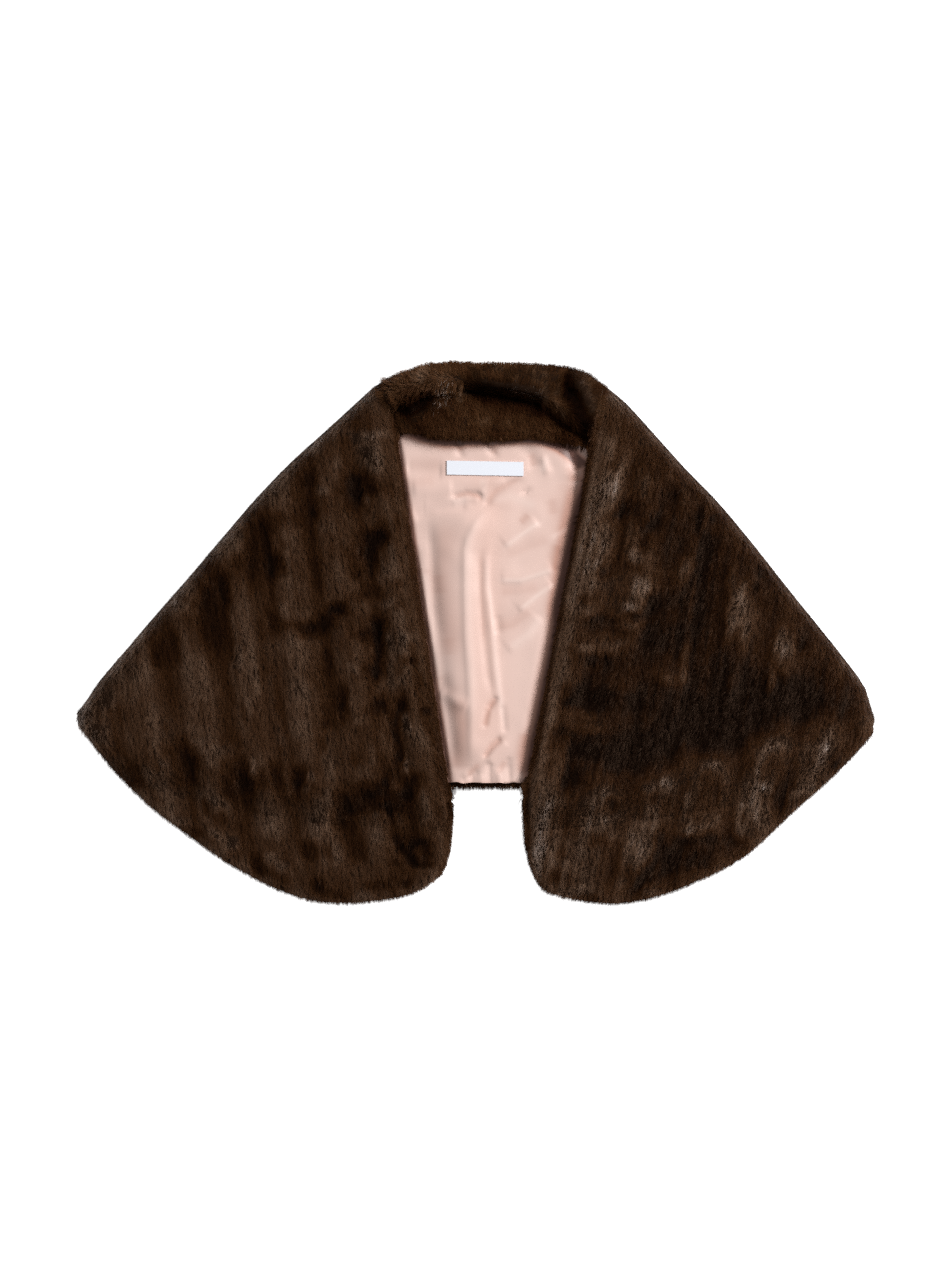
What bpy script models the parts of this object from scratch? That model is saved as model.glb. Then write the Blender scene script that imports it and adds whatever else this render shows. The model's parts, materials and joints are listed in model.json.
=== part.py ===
"""A fur collar wrap, laid flat on its back with both fronts folded over it.

+X runs across the wrap, +Y from its hem to its collar and +Z up. The origin lies on the surface
under the wrap, below the middle of its outline. Sizes are in millimetres until the mesh is made.

Each piece is a wall on a grid of columns. A column is a line across the piece that is read from a
short table of sections; its points are closer together near the edges, where the wall rounds off.
"""

import bmesh
import bpy
import numpy as np

MM = 0.001

# The walls
SEAM_GAP = 0.3            # between two pieces that are sewn or lie on each other
BACK_WALL = 10.0          # the back's cloth and pile, pressed flat by what lies on it
SATIN_WALL = 1.0
FRONT_WALL = 13.5         # a front's cloth and full pile
LABEL_WALL = 0.7

# Where each layer lies
SATIN_FLOOR = BACK_WALL + SEAM_GAP
SATIN_TOP = SATIN_FLOOR + SATIN_WALL
FRONT_FLOOR = SATIN_TOP + SEAM_GAP
FOLD_LEVEL = 12.5         # height of the seam along the shoulder fold
FOLD_RADIUS = 13.0        # how far in from the fold the wall is round
EDGE_RADIUS = 12.0        # the same at a free edge, above
SOLE_RADIUS = 7.0         # and below
BLUNT = 0.12              # share of the wall that stands upright at its very edge

# The back's hem is a shallow curve, highest at the two points of the wrap
HALF_WIDTH = 390.0
BACK_HEM_Y = -152.0
BACK_HEM_RISE = 62.0
BACK_HEM_POWER = 2.2

# Below the back's hem a front comes down to the surface
DROP_START = 8.0
DROP_LENGTH = 36.0

# The long strips of the fur, which run beside the front edge: distance from that edge, half
# width, how high the strip stands above the seams beside it
LEFT_STRIPS = (
    (24.0, 13.0, 2.0),
    (74.0, 15.0, 1.6),
    (134.0, 15.0, 2.4),
    (183.0, 13.0, 2.0),
    (232.0, 15.0, 2.6),
    (292.0, 18.0, 2.2),
    (345.0, 14.0, 1.4),
)
RIGHT_STRIPS = (
    (28.0, 14.0, 2.2),
    (76.0, 13.0, 1.8),
    (120.0, 12.0, 1.4),
    (179.0, 16.0, 2.4),
    (232.0, 14.0, 2.0),
    (288.0, 15.0, 1.8),
)
STRIP_MEAN = 1.0          # the strips rise this much on average, which the wall's size allows for

# Sections of a front, from the point of the wrap to its front edge. A section runs beside the
# front edge, from the shoulder fold, or the collar seam near the neck, down to the hem.
# top_x, top_y, hem_x, hem_y, steps to the next section
LEFT_FRONT = (
    (-390.0, -78.0, -390.0, -89.0, 1),
    (-382.0, -68.0, -379.0, -103.5, 2),
    (-366.5, -45.0, -357.0, -133.0, 2),
    (-342.0, -16.5, -321.5, -169.0, 3),
    (-315.0, 15.5, -283.5, -198.0, 3),
    (-281.5, 53.5, -243.5, -226.0, 3),
    (-248.5, 92.5, -203.5, -248.0, 3),
    (-215.5, 131.0, -163.5, -262.5, 3),
    (-182.0, 166.0, -125.5, -265.5, 3),
    (-150.0, 195.0, -92.0, -262.5, 3),
    (-122.5, 220.0, -61.0, -256.0, 2),
    (-103.0, 238.0, -41.0, -244.0, 1),
    (-95.6, 243.2, -33.5, -237.0, 1),
    (-90.2, 234.4, -28.5, -228.0, 1),
    (-84.3, 224.0, -24.5, -212.0, 1),
    (-80.3, 215.8, -21.5, -175.0, 1),
)
RIGHT_FRONT = (
    (390.0, -83.0, 390.0, -97.5, 1),
    (381.5, -54.0, 377.0, -114.0, 2),
    (364.5, -29.5, 351.0, -141.5, 2),
    (338.0, 4.0, 314.0, -174.5, 3),
    (304.0, 46.0, 266.0, -218.5, 3),
    (271.0, 88.0, 222.0, -242.0, 3),
    (237.5, 128.0, 180.0, -258.5, 3),
    (204.5, 162.0, 140.0, -266.0, 3),
    (173.0, 197.0, 105.0, -263.5, 3),
    (148.0, 224.5, 80.5, -258.0, 2),
    (132.0, 238.0, 66.0, -252.5, 1),
    (126.0, 242.5, 58.0, -241.0, 1),
    (120.0, 223.5, 52.0, -226.5, 1),
    (116.0, 204.0, 48.5, -208.0, 1),
    (113.7, 185.5, 46.0, -163.0, 1),
)
SEAM_SECTIONS = 3         # the last sections of a front, which start on the collar seam

# Sections of the collar, from its left end to its right one: the outer edge of the roll, the
# crease behind it, the lip of the inner band, and the heights of roll, crease and band.
# outer_x, outer_y, crease_x, crease_y, lip_x, lip_y, roll_top, crease_level, band_top
COLLAR = (
    (-95.0, 244.0, -79.3, 217.0, -76.4, 194.0, 27.0, 14.5, 20.0),
    (-82.0, 253.0, -69.5, 225.5, -66.0, 195.5, 30.0, 14.0, 23.0),
    (-64.0, 259.0, -56.0, 232.0, -52.0, 193.0, 33.5, 15.0, 25.5),
    (-43.0, 264.0, -41.0, 237.0, -38.0, 189.5, 35.5, 17.0, 27.0),
    (-19.0, 266.0, -19.0, 238.0, -17.0, 189.0, 33.0, 18.5, 27.5),
    (8.0, 264.5, 6.0, 235.0, 8.0, 188.0, 34.5, 17.5, 26.0),
    (36.0, 264.5, 34.0, 231.0, 35.0, 188.5, 36.0, 16.0, 26.5),
    (63.0, 263.5, 59.0, 225.0, 60.0, 190.0, 34.5, 16.5, 26.0),
    (82.0, 262.0, 77.0, 217.0, 79.0, 187.5, 30.5, 15.5, 24.0),
    (100.0, 259.0, 92.0, 204.0, 93.0, 184.5, 33.0, 14.5, 22.5),
    (114.0, 253.0, 105.0, 194.0, 103.0, 182.5, 30.5, 14.0, 20.0),
    (124.0, 245.0, 111.5, 187.5, 110.0, 181.5, 27.0, 14.0, 18.0),
)
COLLAR_STEPS = 2
ROLL_LEVEL = 15.0         # height of the roll's outermost line
ROLL_RADIUS = 17.0
CREASE_RADIUS = 11.0
BAND_END_RADIUS = 5.0
COLLAR_REACH = 1.0        # the back ends this far before the roll
FOLD_SLANT = 1.5          # a column crosses the fold's round edge at a slant, so it takes longer
SATIN_TUCK_FOLD = 24.0    # the lining ends this far below the fold, along a column
SATIN_TUCK_NECK = 4.0     # this far below the collar's crease
SATIN_HEM = 6.0           # and this far above the back's hem
SATIN_ROWS = 22           # cells along each column of the lining
SATIN_STEPS = 3           # cells across each collar section, where the lining shows
ROLL_SHARES = (0.0, 0.03, 0.1, 0.22, 0.38, 0.55, 0.72, 0.86, 0.96, 1.0)
BAND_SHARES = (0.0, 0.05, 0.16, 0.34, 0.56, 0.76, 0.9, 0.97, 1.0)

# Hollows pressed into the fronts' fur: x, y, half length, half width, lean (sideways for each
# millimetre down), depth
LEFT_DENTS = (
    (-288.0, -129.0, 16.0, 15.0, 0.14, 1.8),
    (-230.0, -143.0, 16.0, 15.0, 0.14, 2.0),
    (-176.0, -139.0, 14.0, 15.0, 0.14, 1.8),
    (-110.0, 149.0, 26.0, 9.0, 0.14, 3.2),
    (-99.0, 83.0, 30.0, 9.0, 0.14, 3.0),
    (-90.0, -12.0, 32.0, 9.0, 0.14, 3.5),
    (-74.0, -92.0, 34.0, 8.0, 0.14, 3.4),
    (-150.0, 12.0, 9.0, 30.0, 0.0, 2.0),
    (-98.0, -164.0, 12.0, 40.0, 0.0, 2.4),
)
RIGHT_DENTS = (
    (152.0, 170.0, 28.0, 9.0, -0.18, 3.0),
    (140.0, 105.0, 30.0, 9.0, -0.18, 2.6),
    (128.0, 2.0, 10.0, 30.0, 0.0, 2.6),
    (108.0, -46.0, 26.0, 9.0, -0.18, 3.2),
    (89.0, -124.0, 30.0, 8.0, -0.18, 3.0),
    (228.0, -90.0, 16.0, 60.0, 0.0, 2.0),
)

# Soft creases of the lining: from x, y to x, y, half width, rise
SATIN_CREASES = (
    (9.0, 124.0, -8.0, 89.0, 7.0, 2.4),
    (-8.0, 89.0, -3.0, -80.0, 8.0, 3.0),
    (-3.0, -80.0, -18.0, -138.0, 8.0, 2.2),
    (11.0, 86.0, 15.0, 10.0, 6.0, 1.8),
    (15.0, 10.0, 29.0, -94.0, 6.0, 2.0),
    (18.0, 86.0, 58.0, 104.0, 7.0, 2.4),
    (20.0, 20.0, 68.0, 47.0, 7.0, 2.2),
    (-46.0, 60.0, -30.0, -40.0, 9.0, 1.8),
    (62.0, 186.0, 86.0, 150.0, 8.0, 2.6),
)
SATIN_QUIET = 8.0         # the creases die out this far inside a front's edge
SATIN_LIP_CLEARANCE = 3.0 # and start this far below the collar's lip
SATIN_RISE_LIMIT = 3.5

# The label, by its middle
LABEL_X, LABEL_Y = 9.5, 161.5
LABEL_LENGTH, LABEL_HEIGHT = 75.0, 13.7
LABEL_TILT = -0.019       # rise for each millimetre along it
LABEL_CELLS = (8, 2)

# Grid lines across the round edges, as shares of the edge's radius
RIM = np.array((0.0, 0.09, 0.32, 0.65, 1.0))
SHORTEST_STRETCH = 0.02   # of a column
# Cells in each stretch of a front's column: its fold, the rest of the back under it, the strip
# before the drop, the drop, the rest, and its hem
FRONT_CELLS = ("rim", 9, 1, 3, 3, "end rim")
BACK_CELLS = ("rim", 4, "end rim")
OVER_HEM = 2.0            # a row of every front lies this far above the back's hem


# ------------------------------------------------------------------------------ curves and grids
def smooth(share):
    """Ease from 0 to 1."""
    share = np.clip(share, 0.0, 1.0)
    return share * share * (3.0 - 2.0 * share)


def round_off(distance, radius):
    """How full a wall is at a distance from its edge: a quarter circle, from BLUNT to 1."""
    inward = np.clip(distance / radius, 0.0, 1.0)
    return np.maximum(np.sqrt(1.0 - (1.0 - inward) ** 2), BLUNT)


def between(rows, steps):
    """Rows of a table and the rows between them, on a smooth curve through all of them."""
    rows = np.array(rows, dtype=float)
    before = np.vstack((2.0 * rows[0] - rows[1], rows[:-2], rows[-2:-1]))
    after = np.vstack((rows[2:], 2.0 * rows[-1] - rows[-2]))
    result = []
    for index, count in enumerate(steps):
        for step in range(count):
            t = step / count
            start, end = rows[index], rows[index + 1]
            tangent_in = (end - before[index]) / 2.0
            tangent_out = (after[index] - start) / 2.0
            result.append(
                start * (2 * t**3 - 3 * t**2 + 1)
                + tangent_in * (t**3 - 2 * t**2 + t)
                + end * (3 * t**2 - 2 * t**3)
                + tangent_out * (t**3 - t**2)
            )
    result.append(rows[-1])
    return np.array(result)


def edge_distance(points, edge):
    """Distance from each point of a grid to a line of edge points."""
    start, end = edge[:-1], edge[1:]
    run = end - start
    squared = np.maximum((run**2).sum(-1), 1e-9)
    offset = points[..., None, :] - start
    share = np.clip((offset * run).sum(-1) / squared, 0.0, 1.0)
    nearest = offset - share[..., None] * run
    return np.sqrt((nearest**2).sum(-1)).min(-1)


def stretches(lengths, counts, total):
    """Places along a column: each stretch has its length and its number of equal cells."""
    lengths = np.maximum(np.array(lengths, dtype=float), SHORTEST_STRETCH * total)
    lengths *= total / lengths.sum()
    places = [0.0]
    for length, count in zip(lengths, counts):
        if count == "rim":
            shares = RIM[1:]
        elif count == "end rim":
            shares = 1.0 - RIM[-2::-1]
        else:
            shares = np.arange(1, count + 1) / count
        places.extend(places[-1] + length * shares)
    return np.array(places)


def back_hem(x):
    """Height on the page of the back's hem."""
    return BACK_HEM_Y + BACK_HEM_RISE * (np.abs(x) / HALF_WIDTH) ** BACK_HEM_POWER


def hollows(points, dents):
    """How deep the fur is pressed in at each point."""
    depth = np.zeros(points.shape[:-1])
    for x, y, half_length, half_width, lean, deep in dents:
        along = points[..., 1] - y
        across = points[..., 0] - x + lean * along
        depth += deep * np.exp(-((along / half_length) ** 2) - (across / half_width) ** 2)
    return depth


# ------------------------------------------------------------------------------ meshes
def plain_material(name, colour, roughness):
    material = bpy.data.materials.new(name)
    material.use_nodes = True
    material.diffuse_color = (*colour, 1.0)
    shader = material.node_tree.nodes["Principled BSDF"]
    shader.inputs["Base Color"].default_value = (*colour, 1.0)
    shader.inputs["Roughness"].default_value = roughness
    shader.inputs["Metallic"].default_value = 0.0
    return material


def wall(name, plan, low, high, material, collection):
    """A closed wall: a grid in plan, with the height of its lower and upper skin at each point."""
    columns, rows = plan.shape[:2]
    bm = bmesh.new()
    bmesh.ops.create_grid(bm, x_segments=rows - 1, y_segments=columns - 1, size=1.0)
    place = bm.verts.layers.int.new("place")
    for index, vertex in enumerate(bm.verts):
        vertex[place] = index
    raised = bmesh.ops.extrude_face_region(bm, geom=bm.faces[:], use_keep_orig=True)
    upper = {item for item in raised["geom"] if isinstance(item, bmesh.types.BMVert)}
    for vertex in bm.verts:
        column, row = divmod(vertex[place], rows)
        level = high if vertex in upper else low
        x, y = plan[column, row]
        vertex.co = (x * MM, y * MM, level[column, row] * MM)
    bm.verts.layers.int.remove(place)
    bmesh.ops.recalc_face_normals(bm, faces=bm.faces[:])
    mesh = bpy.data.meshes.new(name)
    bm.to_mesh(mesh)
    bm.free()
    mesh.materials.append(material)
    mesh.shade_smooth()
    piece = bpy.data.objects.new(name, mesh)
    collection.objects.link(piece)
    return piece


# ------------------------------------------------------------------------------ the pieces
def front_grid(table):
    """Plan of a front: its columns are finer at the fold, at the back's hem and at its own hem."""
    sections = between([row[:4] for row in table], [row[4] for row in table[:-1]])
    plan = []
    for top_x, top_y, hem_x, hem_y in sections:
        total = np.hypot(hem_x - top_x, hem_y - top_y)
        to_back_hem = (top_y - back_hem(0.5 * (top_x + hem_x))) * total / (top_y - hem_y)
        round_top = FOLD_RADIUS * FOLD_SLANT
        lengths = (
            round_top,
            to_back_hem - round_top - OVER_HEM,
            DROP_START + OVER_HEM,
            DROP_LENGTH,
            total - to_back_hem - DROP_START - DROP_LENGTH - EDGE_RADIUS,
            EDGE_RADIUS,
        )
        share = stretches(lengths, FRONT_CELLS, total) / total
        x = top_x + (hem_x - top_x) * share
        y = top_y + (hem_y - top_y) * share
        plan.append(np.stack((x, y), axis=-1))
    return np.array(plan)


def front(name, table, strips, dents, material, collection):
    plan = front_grid(table)
    x, y = plan[..., 0], plan[..., 1]
    fold = plan[:-SEAM_SECTIONS, 0]
    front_edge = plan[-1]
    free = np.vstack((plan[0], plan[:, -1], front_edge[::-1]))
    from_fold = edge_distance(plan, fold)
    from_free = edge_distance(plan, free)

    drop = smooth((back_hem(x) - y - DROP_START) / DROP_LENGTH)
    low = FRONT_FLOOR * (1.0 - drop)
    from_edge = np.abs(x - np.interp(y, front_edge[::-1, 1], front_edge[::-1, 0]))
    rise = sum(
        stand * np.exp(-(((from_edge - centre) / half_width) ** 2))
        for centre, half_width, stand in strips
    )
    high = low + FRONT_WALL + rise - STRIP_MEAN - hollows(plan, dents)

    level = FOLD_LEVEL + SEAM_GAP / 2
    low = low + smooth(1.0 - from_fold / FOLD_RADIUS) * (level - FRONT_FLOOR) * (1.0 - drop)
    high = np.where(
        from_fold < FOLD_RADIUS,
        level + (high - level) * round_off(from_fold, FOLD_RADIUS),
        high,
    )
    middle = 0.5 * (low + high)
    high = middle + (high - middle) * round_off(from_free, EDGE_RADIUS)
    low = middle - (middle - low) * round_off(from_free, SOLE_RADIUS)
    return wall(name, plan, low, high, material, collection)


def back_tops():
    """The back's upper edge: up the left fold, along the collar's crease and down the right one."""
    left = [row[:2] for row in LEFT_FRONT]
    crease = [(row[2], row[3] - COLLAR_REACH) for row in COLLAR[1:-1]]
    right = [row[:2] for row in reversed(RIGHT_FRONT)]
    return left, crease, right


def back_panel(material, collection):
    left, crease, right = back_tops()
    tops = np.array(left + crease + right)
    fold_parts = (tops[: len(left) - SEAM_SECTIONS], tops[SEAM_SECTIONS - len(right):])
    plan = []
    for top_x, top_y in tops:
        hem_y = back_hem(top_x)
        round_top = FOLD_RADIUS * FOLD_SLANT
        lengths = (round_top, top_y - hem_y - round_top - EDGE_RADIUS, EDGE_RADIUS)
        places = stretches(lengths, BACK_CELLS, top_y - hem_y)
        plan.append(np.stack((np.full(len(places), top_x), top_y - places), axis=-1))
    plan = np.array(plan)
    from_fold = np.minimum(*(edge_distance(plan, part) for part in fold_parts))
    hem = np.vstack((plan[0], plan[:, -1], plan[-1][::-1]))
    from_hem = edge_distance(plan, hem)

    level = FOLD_LEVEL - SEAM_GAP / 2
    rise = smooth(1.0 - from_fold / FOLD_RADIUS)
    high = BACK_WALL + rise * (level - BACK_WALL)
    low = level * (1.0 - round_off(from_fold, FOLD_RADIUS)) * (from_fold < FOLD_RADIUS)
    middle = 0.5 * (low + high)
    high = middle + (high - middle) * round_off(from_hem, SOLE_RADIUS)
    low = middle - (middle - low) * round_off(from_hem, SOLE_RADIUS)
    return wall("back_panel", plan, low, high, material, collection)


def satin_rise(x, y):
    """How far the lining lifts off the back in its creases, between the two front edges."""
    points = np.stack((x, y), axis=-1)
    rise = np.zeros(x.shape)
    for x1, y1, x2, y2, half_width, height in SATIN_CREASES:
        crease = np.array(((x1, y1), (x2, y2)))
        rise += height * np.exp(-((edge_distance(points, crease) / half_width) ** 2))
    left, right = LEFT_FRONT[-1], RIGHT_FRONT[-1]
    left_x = np.interp(y, (left[3], left[1]), (left[2], left[0]))
    right_x = np.interp(y, (right[3], right[1]), (right[2], right[0]))
    inside = np.minimum(x - left_x, right_x - x)
    lip_x, lip_y = np.array(COLLAR)[:, 4:6].T
    below_lip = np.interp(x, lip_x, lip_y) - SATIN_LIP_CLEARANCE - y
    calm = smooth(inside / SATIN_QUIET) * smooth(below_lip / SATIN_QUIET)
    above_hem = y - back_hem(x) - SATIN_HEM
    label_y = LABEL_Y + LABEL_TILT * (x - LABEL_X)
    off_label = np.maximum(
        np.abs(x - LABEL_X) - LABEL_LENGTH / 2,
        np.abs(y - label_y) - LABEL_HEIGHT / 2,
    )
    flat_label = smooth(off_label / SATIN_QUIET)
    rise = np.clip(rise, 0.0, SATIN_RISE_LIMIT)
    return rise * calm * smooth(above_hem / SATIN_QUIET) * flat_label


def back_lining(material, collection):
    left, crease, right = back_tops()
    left_fold = [(x, y - SATIN_TUCK_FOLD) for x, y in left[2:-SEAM_SECTIONS - 1:2]]
    neck = [(x, y - SATIN_TUCK_NECK) for x, y in left[-1:] + crease + right[:1]]
    right_fold = [(x, y - SATIN_TUCK_FOLD) for x, y in right[SEAM_SECTIONS + 1:-2:2]]
    tops = left_fold + neck + right_fold
    steps = [1] * len(left_fold) + [SATIN_STEPS] * (len(neck) - 1) + [1] * len(right_fold)
    plan = []
    for top_x, top_y in between(tops, steps):
        y = np.linspace(top_y, back_hem(top_x) + SATIN_HEM, SATIN_ROWS + 1)
        plan.append(np.stack((np.full(y.shape, top_x), y), axis=-1))
    plan = np.array(plan)
    rise = satin_rise(plan[..., 0], plan[..., 1])
    return wall("back_lining", plan, SATIN_FLOOR + rise, SATIN_TOP + rise, material, collection)


def collar_sections():
    return between(COLLAR, [COLLAR_STEPS] * (len(COLLAR) - 1))


def collar_fall(material, collection):
    sections = collar_sections()
    outer, crease = sections[:, 0:2], sections[:, 2:4]
    top, crease_level = sections[:, 6:7], sections[:, 7:8]
    share = np.array(ROLL_SHARES)[:, None]
    plan = outer[:, None] + (crease - outer)[:, None] * share
    from_outer = edge_distance(plan, outer)
    from_crease = edge_distance(plan, crease)
    high = ROLL_LEVEL + (top - ROLL_LEVEL) * round_off(from_outer, ROLL_RADIUS)
    high = crease_level + (high - crease_level) * round_off(from_crease, CREASE_RADIUS)
    low = ROLL_LEVEL * (1.0 - round_off(from_outer, SOLE_RADIUS)) * (from_outer < SOLE_RADIUS)
    return wall("collar_fall", plan, low, high, material, collection)


def collar_stand(material, collection):
    sections = collar_sections()
    crease, lip = sections[:, 2:4], sections[:, 4:6]
    crease_level, top = sections[:, 7:8], sections[:, 8:9]
    run = lip - crease
    crease = crease + run / np.hypot(run[:, 0], run[:, 1])[:, None] * SEAM_GAP
    share = np.array(BAND_SHARES)[:, None]
    plan = crease[:, None] + (lip - crease)[:, None] * share
    from_crease = edge_distance(plan, crease)
    from_lip = edge_distance(plan, lip)
    from_end = np.minimum(edge_distance(plan, plan[0]), edge_distance(plan, plan[-1]))
    high = crease_level + (top - crease_level) * round_off(from_crease, CREASE_RADIUS)
    low = np.full(high.shape, FRONT_FLOOR)
    middle = 0.5 * (low + high)
    fullness = round_off(from_lip, CREASE_RADIUS) * round_off(from_end, BAND_END_RADIUS)
    high = middle + (high - middle) * fullness
    low = middle - (middle - low) * round_off(from_lip, SOLE_RADIUS)
    return wall("collar_stand", plan, low, high, material, collection)


def neck_label(material, collection):
    columns, rows = LABEL_CELLS
    along = np.linspace(-LABEL_LENGTH / 2, LABEL_LENGTH / 2, columns + 1)
    across = np.linspace(LABEL_HEIGHT / 2, -LABEL_HEIGHT / 2, rows + 1)
    x = LABEL_X + along[:, None] + 0.0 * across
    y = LABEL_Y + LABEL_TILT * along[:, None] + across
    low = SATIN_TOP + SEAM_GAP + satin_rise(x, y)
    return wall("neck_label", np.stack((x, y), axis=-1), low, low + LABEL_WALL, material, collection)


def main():
    for item in list(bpy.data.objects):
        bpy.data.objects.remove(item)
    wrap = bpy.data.collections.new("fur_collar_wrap")
    bpy.context.scene.collection.children.link(wrap)

    brown_fur = plain_material("faux mink", (0.022, 0.011, 0.006), 0.75)
    hem_fur = plain_material("faux mink, back", (0.018, 0.009, 0.005), 0.8)
    collar_fur = plain_material("faux mink, collar", (0.026, 0.012, 0.006), 0.75)
    satin = plain_material("rose satin", (0.80, 0.60, 0.53), 0.35)
    tape = plain_material("white woven tape", (0.86, 0.87, 0.89), 0.6)

    back_panel(hem_fur, wrap)
    back_lining(satin, wrap)
    front("left_front", LEFT_FRONT, LEFT_STRIPS, LEFT_DENTS, brown_fur, wrap)
    front("right_front", RIGHT_FRONT, RIGHT_STRIPS, RIGHT_DENTS, brown_fur, wrap)
    collar_fall(collar_fur, wrap)
    collar_stand(collar_fur, wrap)
    neck_label(tape, wrap)


main()
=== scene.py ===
# %% [markdown]
# # A fur collar wrap
#
# The wrap is a short cape of brown faux mink with a rolled collar and a rose satin lining. It lies
# on its back, with both fronts folded over, so the lining shows between them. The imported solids
# give each layer its place. This lesson dresses them: cloth skins, some 776,000 hairs, satin and
# a woven label. Sizes are in millimetres until a mesh is made.

import bmesh
import bpy
import json
import math
import numpy as np
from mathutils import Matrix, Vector
from mathutils.bvhtree import BVHTree
from mathutils.kdtree import KDTree

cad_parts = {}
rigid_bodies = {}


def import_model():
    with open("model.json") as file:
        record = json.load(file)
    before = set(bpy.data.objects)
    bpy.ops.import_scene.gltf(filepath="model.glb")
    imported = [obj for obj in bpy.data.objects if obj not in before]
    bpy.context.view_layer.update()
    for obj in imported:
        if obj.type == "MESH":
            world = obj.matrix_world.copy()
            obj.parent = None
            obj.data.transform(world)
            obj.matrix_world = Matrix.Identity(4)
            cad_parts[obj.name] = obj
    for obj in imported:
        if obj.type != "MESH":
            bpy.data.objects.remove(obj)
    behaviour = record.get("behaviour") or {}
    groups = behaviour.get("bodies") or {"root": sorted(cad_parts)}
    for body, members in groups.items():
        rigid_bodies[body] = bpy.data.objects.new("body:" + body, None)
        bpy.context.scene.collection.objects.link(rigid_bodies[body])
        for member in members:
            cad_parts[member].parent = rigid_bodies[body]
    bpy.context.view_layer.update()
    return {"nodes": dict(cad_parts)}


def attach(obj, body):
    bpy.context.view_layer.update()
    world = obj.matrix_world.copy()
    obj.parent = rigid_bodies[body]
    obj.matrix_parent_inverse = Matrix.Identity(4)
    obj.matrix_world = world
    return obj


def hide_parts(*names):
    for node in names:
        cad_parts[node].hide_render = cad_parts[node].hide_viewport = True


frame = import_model()
MM = 0.001


# %% [markdown]
# ## Small helpers
# Colours are written as hex codes, as a dye chart gives them, and turned to linear light.
# One function adds a node with its settings and its links. Two more give soft steps and slow
# random changes over the cloth, as a handmade thing has them everywhere.

# %% Colour and node helpers
def linear(code):
    """Linear red, green, blue and alpha of an sRGB hex code."""
    parts = [int(code[i:i + 2], 16) / 255 for i in (0, 2, 4)]
    return [c / 12.92 if c <= 0.04045 else ((c + 0.055) / 1.055) ** 2.4 for c in parts] + [1.0]


def fill(node, inputs):
    """Give a node its inputs: each is a value or another node's socket."""
    for name, value in inputs.items():
        socket = node.inputs[name]
        if isinstance(value, bpy.types.NodeSocket):
            node.id_data.links.new(value, socket)
        else:
            socket.default_value = value


def add(tree, kind, inputs, dyes=(), **settings):
    """A node with its settings, its inputs and, on a colour ramp, its dyes from 0 to 1."""
    node = tree.nodes.new(kind)
    for name, value in settings.items():
        setattr(node, name, value)
    fill(node, inputs)
    if dyes:
        stops = node.color_ramp.elements
        for place, code in dyes[1:-1]:
            stops.new(place).color = linear(code)
        for end in (0, -1):
            stops[end].color = linear(dyes[end][1])
    return node


def new_material(name):
    """A new material, its node tree and its shader."""
    material = bpy.data.materials.new(name)
    material.use_nodes = True
    tree = material.node_tree
    return material, tree, tree.nodes["Principled BSDF"]


print("black is", linear("000000"))


# %% Objects and soft changes
def put_out(name, data):
    """An object with this data, linked to the scene."""
    thing = bpy.data.objects.new(name, data)
    bpy.context.scene.collection.objects.link(thing)
    return thing


def smooth(share):
    """Ease from 0 to 1."""
    share = np.clip(share, 0.0, 1.0)
    return share * share * (3.0 - 2.0 * share)


SPOTS = 96                # along each side of a patch of soft spots, which then repeats
SPOTS_FROM = 41.7, 37.3   # where in it the middle of the wrap lies


def drift(x, y, size, seed):
    """A slow random change over the cloth, from -1 to 1, with soft spots about size wide."""
    spots = np.random.default_rng(seed).uniform(-1.0, 1.0, (SPOTS + 1, SPOTS + 1))
    u, v = x / size + SPOTS_FROM[0], y / size + SPOTS_FROM[1]
    column, row = np.floor(u).astype(int), np.floor(v).astype(int)
    across, up = smooth(u - column), smooth(v - row)
    column, row = column % SPOTS, row % SPOTS
    lower = spots[column, row] * (1 - across) + spots[column + 1, row] * across
    upper = spots[column, row + 1] * (1 - across) + spots[column + 1, row + 1] * across
    return lower * (1 - up) + upper * up


print("drift in the middle of the wrap", round(float(drift(0.0, 0.0, 10.0, 1)), 3))


# %% [markdown]
# ## How the fur lies
# The pile of each front runs down, beside the front edge. It was brushed and folded, so it stands
# in long strips with dark seams between them, and in places it is pressed or ruffled. Such marks
# could be painted or combed by hand. Tables of places keep each mark at its real size, and the
# same row then dents the cloth and shades the hair over it. That shade is partly the pile's own
# colour and partly painted light: painted sheen where the fur is brushed up, painted shade in the
# pressed dents.

# %% Lie of the fronts
LEFT_EDGE = ((-80.3, 215.8), (-21.5, -175.0), (-24.5, -212.0), (-33.5, -237.0))
RIGHT_EDGE = ((113.7, 185.5), (46.0, -163.0), (48.5, -208.0), (58.0, -241.0))
LEFT_LIE, RIGHT_LIE = 0.15, -0.19     # sideways for each millimetre down

# distance from the front edge, half width, change of shade: dyed strips, the lighter ones
# partly painted sheen, and the row at the very edge painted shade
LEFT_BANDS = (
    (2, 3, -0.12), (4, 8, 0.04), (17, 11, 0.07), (42, 11, -0.04), (74, 16, 0.05), (97, 9, -0.05),
    (134, 16, 0.07), (157, 8, -0.06), (183, 15, 0.07), (208, 9, -0.06), (232, 15, 0.08), (260, 10, -0.07),
    (292, 20, 0.07), (322, 12, -0.05), (345, 14, 0.04),
)
RIGHT_BANDS = (
    (2, 3, -0.10), (8, 4, 0.05), (12, 16, 0.19), (38, 10, 0.02), (52, 10, -0.04), (75, 12, 0.03),
    (97, 9, -0.05), (119, 11, 0.02), (148, 12, -0.05), (180, 14, 0.03), (205, 10, -0.05), (232, 13, 0.03),
    (262, 12, -0.05), (290, 13, 0.03), (320, 14, -0.04),
)
print("left strips at", [row[0] for row in LEFT_BANDS if row[2] > 0], "mm from the edge")
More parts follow.
